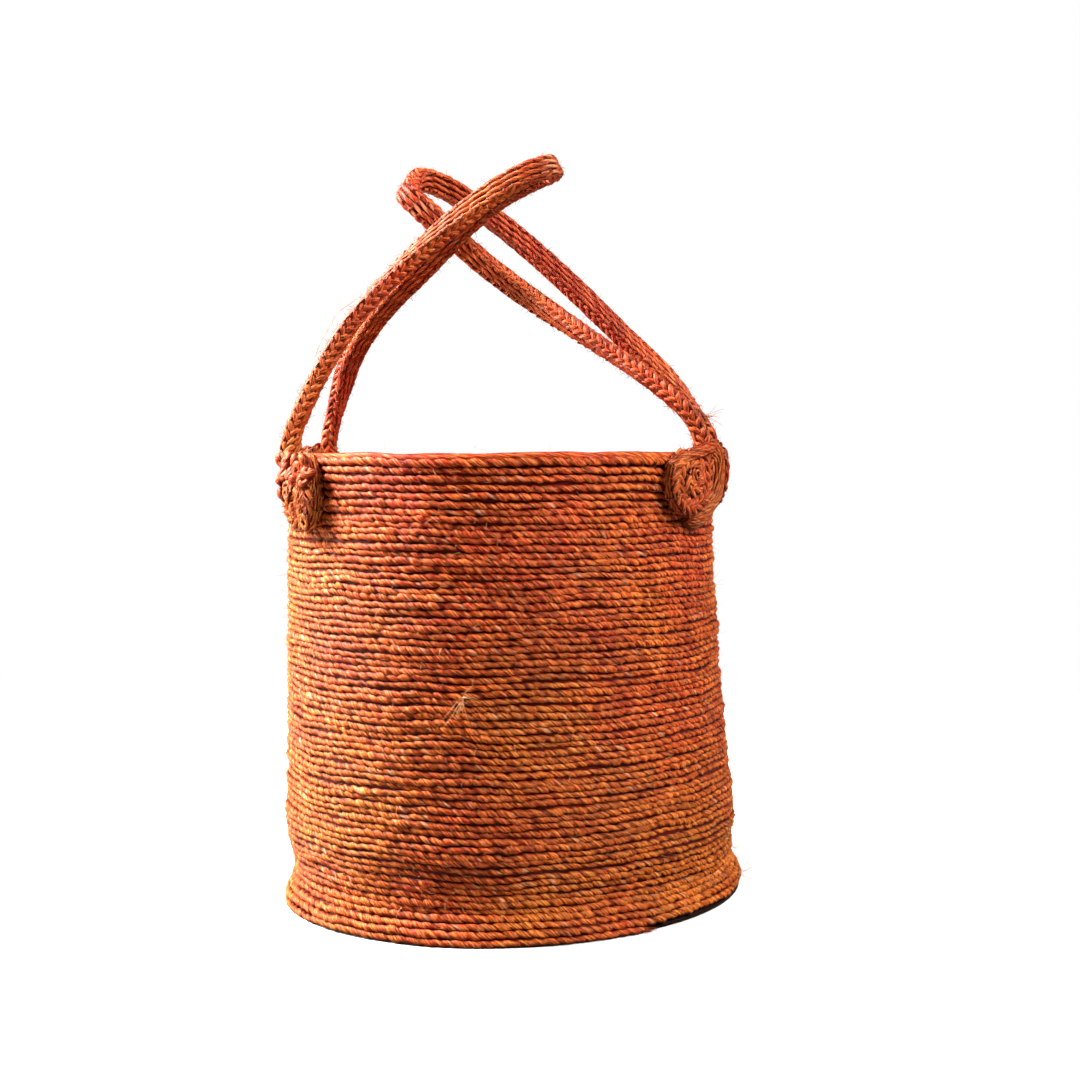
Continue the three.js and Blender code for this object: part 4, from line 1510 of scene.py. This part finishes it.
@dataclass
class Studio:
    """A plain pale floor and backdrop, soft lamps and the photograph's camera."""

    lens: float = 55.93
    sensor: float = 36.0
    camera_place: tuple[float, float, float] = (0.0155, -1.205, 0.312)
    pitch_down: float = 2.97
    white: str = "ffffff"
    paper: str = "f2f1ef"
    bounce: str = "74726a"
    fill: float = 0.075
    floor_reach: float = 6.0
    fade_from: float = 0.35
    fade_to: float = 1.3
    aim: tuple[float, float, float] = (0.0, 0.0, 0.22)
    lamps: tuple[Lamp, ...] = (
        Lamp("soft_left", (-1.62, 0.12, 1.65), 0.8, 262.0),
        Lamp("low_left", (-1.75, 0.0, 0.7), 0.9, 28.0),
        Lamp("soft_right", (1.5, -0.7, 1.6), 0.8, 78.0),
        Lamp("front_fill", (0.2, -2.0, 2.3), 1.2, 2.0),
    )

    def backdrop_material(self) -> bpy.types.Material:
        """Make matt paper that keeps the object's shadow and fades to plain white far from it."""
        made, work = blank_material("matt_white_paper")
        seen = work.add("ShaderNodeLightPath").outputs["Is Camera Ray"]
        tone = work.mix(seen, linear(self.bounce), linear(self.paper))
        matt = work.add("ShaderNodeBsdfDiffuse", {"Color": tone, "Roughness": 0.0})
        white = work.add("ShaderNodeEmission", {"Color": linear(self.white), "Strength": 1.0})
        place = work.add("ShaderNodeTexCoord").outputs["Object"]
        away = work.vector("LENGTH", place, output="Value")
        far = work.remap(away, self.fade_from, self.fade_to, interpolation_type="SMOOTHSTEP")
        both = work.add("ShaderNodeMixShader",
                        {0: work.math("MULTIPLY", seen, far), 1: matt.outputs[0], 2: white.outputs[0]})
        work.add("ShaderNodeOutputMaterial", {"Surface": both.outputs[0]})
        return made

    def floor(self) -> None:
        """Lay the floor."""
        mesh = bpy.data.meshes.new("studio_floor")
        reach = self.floor_reach
        mesh.from_pydata([(-reach, -reach, 0), (reach, -reach, 0), (reach, reach, 0), (-reach, reach, 0)],
                         [], [(0, 1, 2, 3)])
        mesh.materials.append(self.backdrop_material())
        put("studio_floor", mesh)

    def hang(self, lamp: Lamp) -> None:
        """Hang a lamp that points at the bin."""
        data = bpy.data.lights.new(lamp.name, "AREA")
        data.shape = "SQUARE"
        data.size = lamp.size
        data.energy = lamp.power
        hung = put(lamp.name, data)
        hung.location = lamp.place
        toward = Vector(self.aim) - Vector(lamp.place)
        hung.rotation_euler = toward.to_track_quat("-Z", "Y").to_euler()

    def world(self) -> None:
        """Make a white background and a dim even fill."""
        world = bpy.data.worlds.new("studio_world")
        bpy.context.scene.world = world
        world.use_nodes = True
        world.node_tree.nodes.clear()
        work = NodeWork(world.node_tree)
        seen = work.add("ShaderNodeLightPath").outputs["Is Camera Ray"]
        fill = work.add("ShaderNodeBackground", {"Color": linear(self.white), "Strength": self.fill})
        white = work.add("ShaderNodeBackground", {"Color": linear(self.white), "Strength": 1.0})
        both = work.add("ShaderNodeMixShader", {0: seen, 1: fill.outputs[0], 2: white.outputs[0]})
        work.add("ShaderNodeOutputWorld", {"Surface": both.outputs[0]})

    def camera(self) -> None:
        """Set up the photograph's camera."""
        data = bpy.data.cameras.new("photo_camera")
        data.lens = self.lens
        data.sensor_width = self.sensor
        data.sensor_fit = "HORIZONTAL"
        data.clip_start = 0.01
        camera = put("photo_camera", data)
        camera.location = self.camera_place
        camera.rotation_euler = (math.radians(90.0 - self.pitch_down), 0.0, 0.0)
        bpy.context.scene.camera = camera

    def build(self) -> None:
        """Build the whole studio."""
        self.floor()
        self.world()
        for lamp in self.lamps:
            self.hang(lamp)
        self.camera()


# Wound wall cord: orange-red and streaky with a few straw-pale fibres, with painted light that
# makes it redder and lighter near the rim.
WALL_JUTE = JuteFinish("dyed_jute_wall", deep="701602", body="bc460c", pale="ea8a3e", straw="fce0b4",
                       hue_rim=-0.006, top_light=1.16)
# The base's cord: browner and duller than the wall. The photo hides it, so the tone is a guess.
MAT_JUTE = JuteFinish("dyed_jute_mat", deep="7c3414", body="a8572a", pale="cf9460", straw="d8b98a")
# Packed fibre under the base: nearly black, so the step below the tail reads as a deep shadow.
PACKED_JUTE = JuteFinish("packed_jute_core", deep="240a04", body="3c1408", pale="54220e", straw="6a3c1c")
# The straps' plait: a clear orange-red with a soft shine along each strand, and dark red
# painted shade between the strands.
PLAIT_JUTE = JuteFinish("dyed_jute_plait", deep="8c1e06", body="c04216", pale="e27842", straw="f4c494",
                        relief=0.5 * MM, gap_shade="7c2810", gap_shade_from=0.2, gap_shade_to=0.86, gloss=0.28)
# The thin cap over the rim: the plait's colour without its shine, so that the edge stays matt.
RIM_JUTE = replace(PLAIT_JUTE, name="dyed_jute_rim", gloss=0.1)
# The coils' plait: darker and duller than the straps.
COIL_JUTE = replace(PLAIT_JUTE, name="dyed_jute_coil", deep="781c06", body="a83e14", pale="d2723c",
                    gap_shade="62200c", gloss=0.2)
# The left front tab: lighter and a little yellower than the other coils.
TAB_JUTE = replace(COIL_JUTE, name="tab_jute_coil", deep="7c2208", body="b84e18", pale="e2924e")
# The smooth ear over the right front coil: a tan brown, yellower than the coil under it.
TAN_JUTE = replace(COIL_JUTE, name="tan_jute_band", deep="7a2406", body="a24612", pale="c87a3c")
# Sewing twine: a dry light brown. None can be made out in the photo, so the tone is a guess.
TWINE_JUTE = JuteFinish("jute_twine", deep="8a4a24", body="a8683a", pale="cf9a66", straw="dcb888")
# Long stray fibres of the wall: pale gold threads that catch the light at the outline.
STRAY_FIBRE = FuzzFinish()
# Short fibres of the plaits: as red as the dye, so they blur the outline without brightening it.
SHORT_FIBRE = FuzzFinish("short_jute_fibre", dark="84300c", light="c8703a")

# Paths over a foot, in millimetres from the coil's middle: along toward the front, up, off the wall.
LINTEL = ((19.0, 8.0, -1.0), (14.0, 12.0, 3.0), (5.0, 15.0, 5.5), (-4.0, 17.5, 6.8), (-13.0, 19.5, 7.5),
          (-21.0, 20.5, 7.5), (-28.0, 18.5, 6.0), (-33.0, 13.0, 4.0))
EAR = ((-21.0, 20.0, 3.5), (-28.0, 17.0, 5.0), (-33.0, 10.5, 5.2), (-34.5, 2.0, 5.2), (-33.5, -7.0, 4.6),
       (-29.5, -15.0, 3.6), (-22.5, -21.0, 2.4), (-13.0, -25.0, 0.6), (-4.0, -26.0, -2.0))
ARCH = ((-6.0, 9.0, -3.0), (-11.0, 13.5, 2.5), (-17.0, 16.0, 6.0), (-24.0, 16.0, 6.5),
        (-31.0, 13.0, 4.0), (-36.0, 8.0, 0.0), (-38.0, 3.0, -4.0))
# Spots on a coil, in millimetres: along, up and the radius of the ring there.
KNOTS = ((-19.5, 12.6, 2.8), (-9.0, 13.2, 3.0), (2.0, 12.6, 2.8), (8.0, 8.0, 3.2), (-13.5, 6.2, 2.8),
         (-20.0, 4.0, 2.6), (14.0, 12.0, 2.8), (15.0, 2.6, 3.0), (-4.0, 6.6, 2.8), (-19.0, -4.5, 2.6),
         (4.0, 2.0, 2.6), (19.5, 8.0, 2.6))
TAB_RINGS = ((-8.0, -3.5, 6.0), (11.0, -17.5, 5.6))
COIL_RINGS = ((RIGHT_FRONT, (-3.0, 3.0, 8.0)), (LEFT_BACK, (0.0, 0.0, 5.5)), (RIGHT_BACK, (0.0, 0.0, 5.5)))
# Place along and up on the left front coil, in millimetres, and the way its loose fibres point.
TAB_TUFTS = ((8.0, 2.0, (0.35, -0.5, -0.9)), (14.0, -4.0, (-0.2, -0.3, -1.0)),
              (4.0, -8.0, (0.4, -0.6, -0.8)), (-4.0, -10.0, (0.3, -0.5, -0.9)))
# The long fibre that stands off the left handle, in millimetres.
LONG_FIBRE = ((-137.3, -62.0, 377.0), (-133.0, -60.0, 388.0), (-126.3, -58.0, 399.7),
              (-122.9, -58.0, 406.5), (-114.6, -58.0, 412.7), (-106.4, -57.0, 418.9))


def build_handles(shell: Shell, walk: Ropewalk, fuzz: Fuzz) -> Handle:
    """Build both handles. Each share is a part of the way from hinge to tip: sideways, up, to the lane.

    Args:
        shell: The wall's form.
        walk: What lays up the cords.
        fuzz: The short fibres.

    Returns:
        The right handle, whose front foot carries a tuft.
    """
    left_turn = ((0.9, 0.967), (0.985, 0.997))
    left = Handle(
        "left_handle", shell, walk, fuzz, PLAIT_JUTE, TAB_JUTE, PLAIT_JUTE, LEFT_FRONT, LEFT_BACK,
        tip=(24.0 * MM, -33.0 * MM, 508.0 * MM), lanes=(-50.0 * MM, -16.0 * MM),
        front_shares=((0.094, 0.197, 0.14), (0.237, 0.424, 0.53), (0.455, 0.653, 0.93), (0.744, 0.88, 1.0)),
        back_shares=((0.045, 0.148, 0.06), (0.115, 0.309, 0.25), (0.236, 0.463, 0.51),
                     (0.459, 0.645, 0.86), (0.73, 0.872, 1.0)),
        front_turn=left_turn, back_turn=left_turn)
    # The right handle's feet take the coil's darker finish as painted shade.
    right = Handle(
        "right_handle", shell, walk, fuzz, PLAIT_JUTE, COIL_JUTE, COIL_JUTE, RIGHT_FRONT, RIGHT_BACK,
        tip=(-79.0 * MM, 25.0 * MM, 505.0 * MM), lanes=(8.0 * MM, 42.0 * MM),
        front_shares=((0.053, 0.087, 0.03), (0.167, 0.202, 0.16), (0.36, 0.364, 0.5),
                      (0.567, 0.535, 0.86), (0.756, 0.702, 1.0)),
        back_shares=((0.11, 0.184, 0.1), (0.28, 0.392, 0.45), (0.565, 0.724, 1.0), (0.75, 0.905, 1.0)),
        front_turn=((0.935, 0.885), (1.0, 0.957)), back_turn=((0.9, 1.018), (0.965, 1.038)),
        tip_swell=0.12)
    left.build()
    right.build()
    return right


def dress_feet(shell: Shell, walk: Ropewalk) -> None:
    """Lay the bands, knots, rings and stitches over the coils."""
    FootBand(shell, walk, TAN_JUTE, RIGHT_FRONT, EAR, cords=9, layers=3, spread=2.4 * MM, crown=3.5 * MM,
             label="ear_band").build()
    FootBand(shell, walk, COIL_JUTE, RIGHT_FRONT, LINTEL, cords=3, layers=2, spread=2.1 * MM).build()
    for foot in (LEFT_BACK, RIGHT_BACK):
        FootBand(shell, walk, COIL_JUTE, foot, ARCH).build()
    knot_cord = CordSpec(thickness=6.6 * MM, lay=14.0 * MM, sides=8, unevenness=0.3, openness=0.13)
    Curls(shell, walk, PLAIT_JUTE, LEFT_FRONT, KNOTS, spacing=1.4 * MM, outward=7.6 * MM, eye=1.7 * MM,
          dive=3.5 * MM, label="knots", cord=knot_cord).build()
    ring_cord = CordSpec(thickness=4.2 * MM, lay=13.0 * MM, unevenness=0.25, openness=0.13)
    Curls(shell, walk, TAB_JUTE, LEFT_FRONT, TAB_RINGS, spacing=3.6 * MM, outward=7.4 * MM,
          cord=ring_cord).build()
    for foot, spot in COIL_RINGS:
        Curls(shell, walk, COIL_JUTE, foot, (spot,)).build()
    for foot in (LEFT_FRONT, LEFT_BACK, RIGHT_FRONT, RIGHT_BACK):
        Stitches(shell, walk, TWINE_JUTE, foot).build()


def add_wall_fibres(shell: Shell, walk: Ropewalk, fuzz: Fuzz) -> None:
    """Scatter stray fibres over the wall and pull two tufts out of it."""
    azimuth = np.linspace(0.0, 360.0, 90, endpoint=False)
    heights = np.linspace(9 * MM, 311 * MM, 40)
    skin = shell.skin(azimuth, heights, -0.4 * MM, -4.6 * MM)
    hairs = fuzz.scatter("wall_fuzz", skin, hoop=True, density=9000.0, length=5.0 * MM, seed=5)
    settle(hairs, "basket", "wall_jute")
    tufts = (
        Tuft((-33.3 * MM, -156.5 * MM, 158.0 * MM), (-0.25, -0.25, -1.0), 17 * MM, count=9, spread=0.28),
        Tuft((-33.3 * MM, -156.5 * MM, 159.0 * MM), (0.8, -0.35, 0.5), 9 * MM, count=5, spread=0.4),
        Tuft((156.5 * MM, -20.0 * MM, 12.0 * MM), (1.0, -0.3, 0.15), 10 * MM, count=12),
    )
    loose = LooseEnds(walk, fuzz.material)
    settle(loose.build("wall_tufts", tufts, seed=31), "basket", "wall_jute")


def add_foot_fibres(shell: Shell, walk: Ropewalk, short_fuzz: Fuzz, right: Handle) -> None:
    """Pull fibres out of the right front foot and out of the left front coil."""
    tuft = Tuft((126.0 * MM, -79.0 * MM, 336.0 * MM), (1.0, -0.1, 0.12), 9 * MM, count=14, spread=0.35)
    short_ends = LooseEnds(walk, short_fuzz.material)
    right.bend(short_ends.build("right_front_foot_tuft", (tuft,), seed=47), RIGHT_FRONT)
    tab = Coil(shell, LEFT_FRONT)
    tufts = tuple(
        Tuft(tuple(tab.place(along * MM, up * MM, 6.0 * MM)), toward, 15 * MM, count=16, spread=0.3,
             thickness=0.9 * MM)
        for along, up, toward in TAB_TUFTS)
    tab_ends = LooseEnds(walk, TAB_JUTE.material())
    settle(tab_ends.build("left_front_coil_fibres", tufts, seed=61), "basket", "handle_jute")


def add_loose_ends(shell: Shell, walk: Ropewalk, fuzz: Fuzz) -> None:
    """Fray the tail of the wall's cord and add the long fibre of the left handle."""
    tail_end = shell.point(-53.2, 2.5 * MM, -2.7 * MM)
    frayed = Tuft(tuple(tail_end), (0.79, 0.61, -0.02), 9.5 * MM, count=34, spread=0.26,
                  thickness=0.9 * MM)
    ends = LooseEnds(walk, WALL_JUTE.material())
    settle(ends.build("frayed_tail", (frayed,), seed=41), "basket", "wall_jute")
    drawn = centripetal(np.array(LONG_FIBRE) * MM)
    line = resample(drawn, np.linspace(0.0, 1.0, len(drawn)), np.linspace(0.0, 1.0, 34))
    strand = make_strand(line, np.tile([0.0, -1.0, 0.0], (len(line), 1)))
    fibre = LooseEnds(walk, fuzz.material).thread("left_handle_stray_fibre", [strand], 0.45 * MM)
    settle(fibre, "left_handle", "handle_jute")


def main() -> None:
    """Build the studio and every sub-assembly in order."""
    logging.basicConfig(level=logging.INFO, format="%(message)s")
    bpy.context.scene.view_settings.view_transform = "Standard"
    Studio().build()
    shell = Shell()
    walk = Ropewalk()
    Mat(shell, walk, MAT_JUTE, PACKED_JUTE).build()
    Wall(shell, walk, WALL_JUTE).build()
    RimCord(shell, walk, WALL_JUTE, RIM_JUTE).build()
    fuzz = Fuzz(STRAY_FIBRE)
    short_fuzz = replace(fuzz, radius=0.13 * MM, finish=SHORT_FIBRE)
    right = build_handles(shell, walk, short_fuzz)
    dress_feet(shell, walk)
    add_wall_fibres(shell, walk, fuzz)
    add_foot_fibres(shell, walk, short_fuzz, right)
    add_loose_ends(shell, walk, fuzz)


if __name__ == "__main__":
    main()
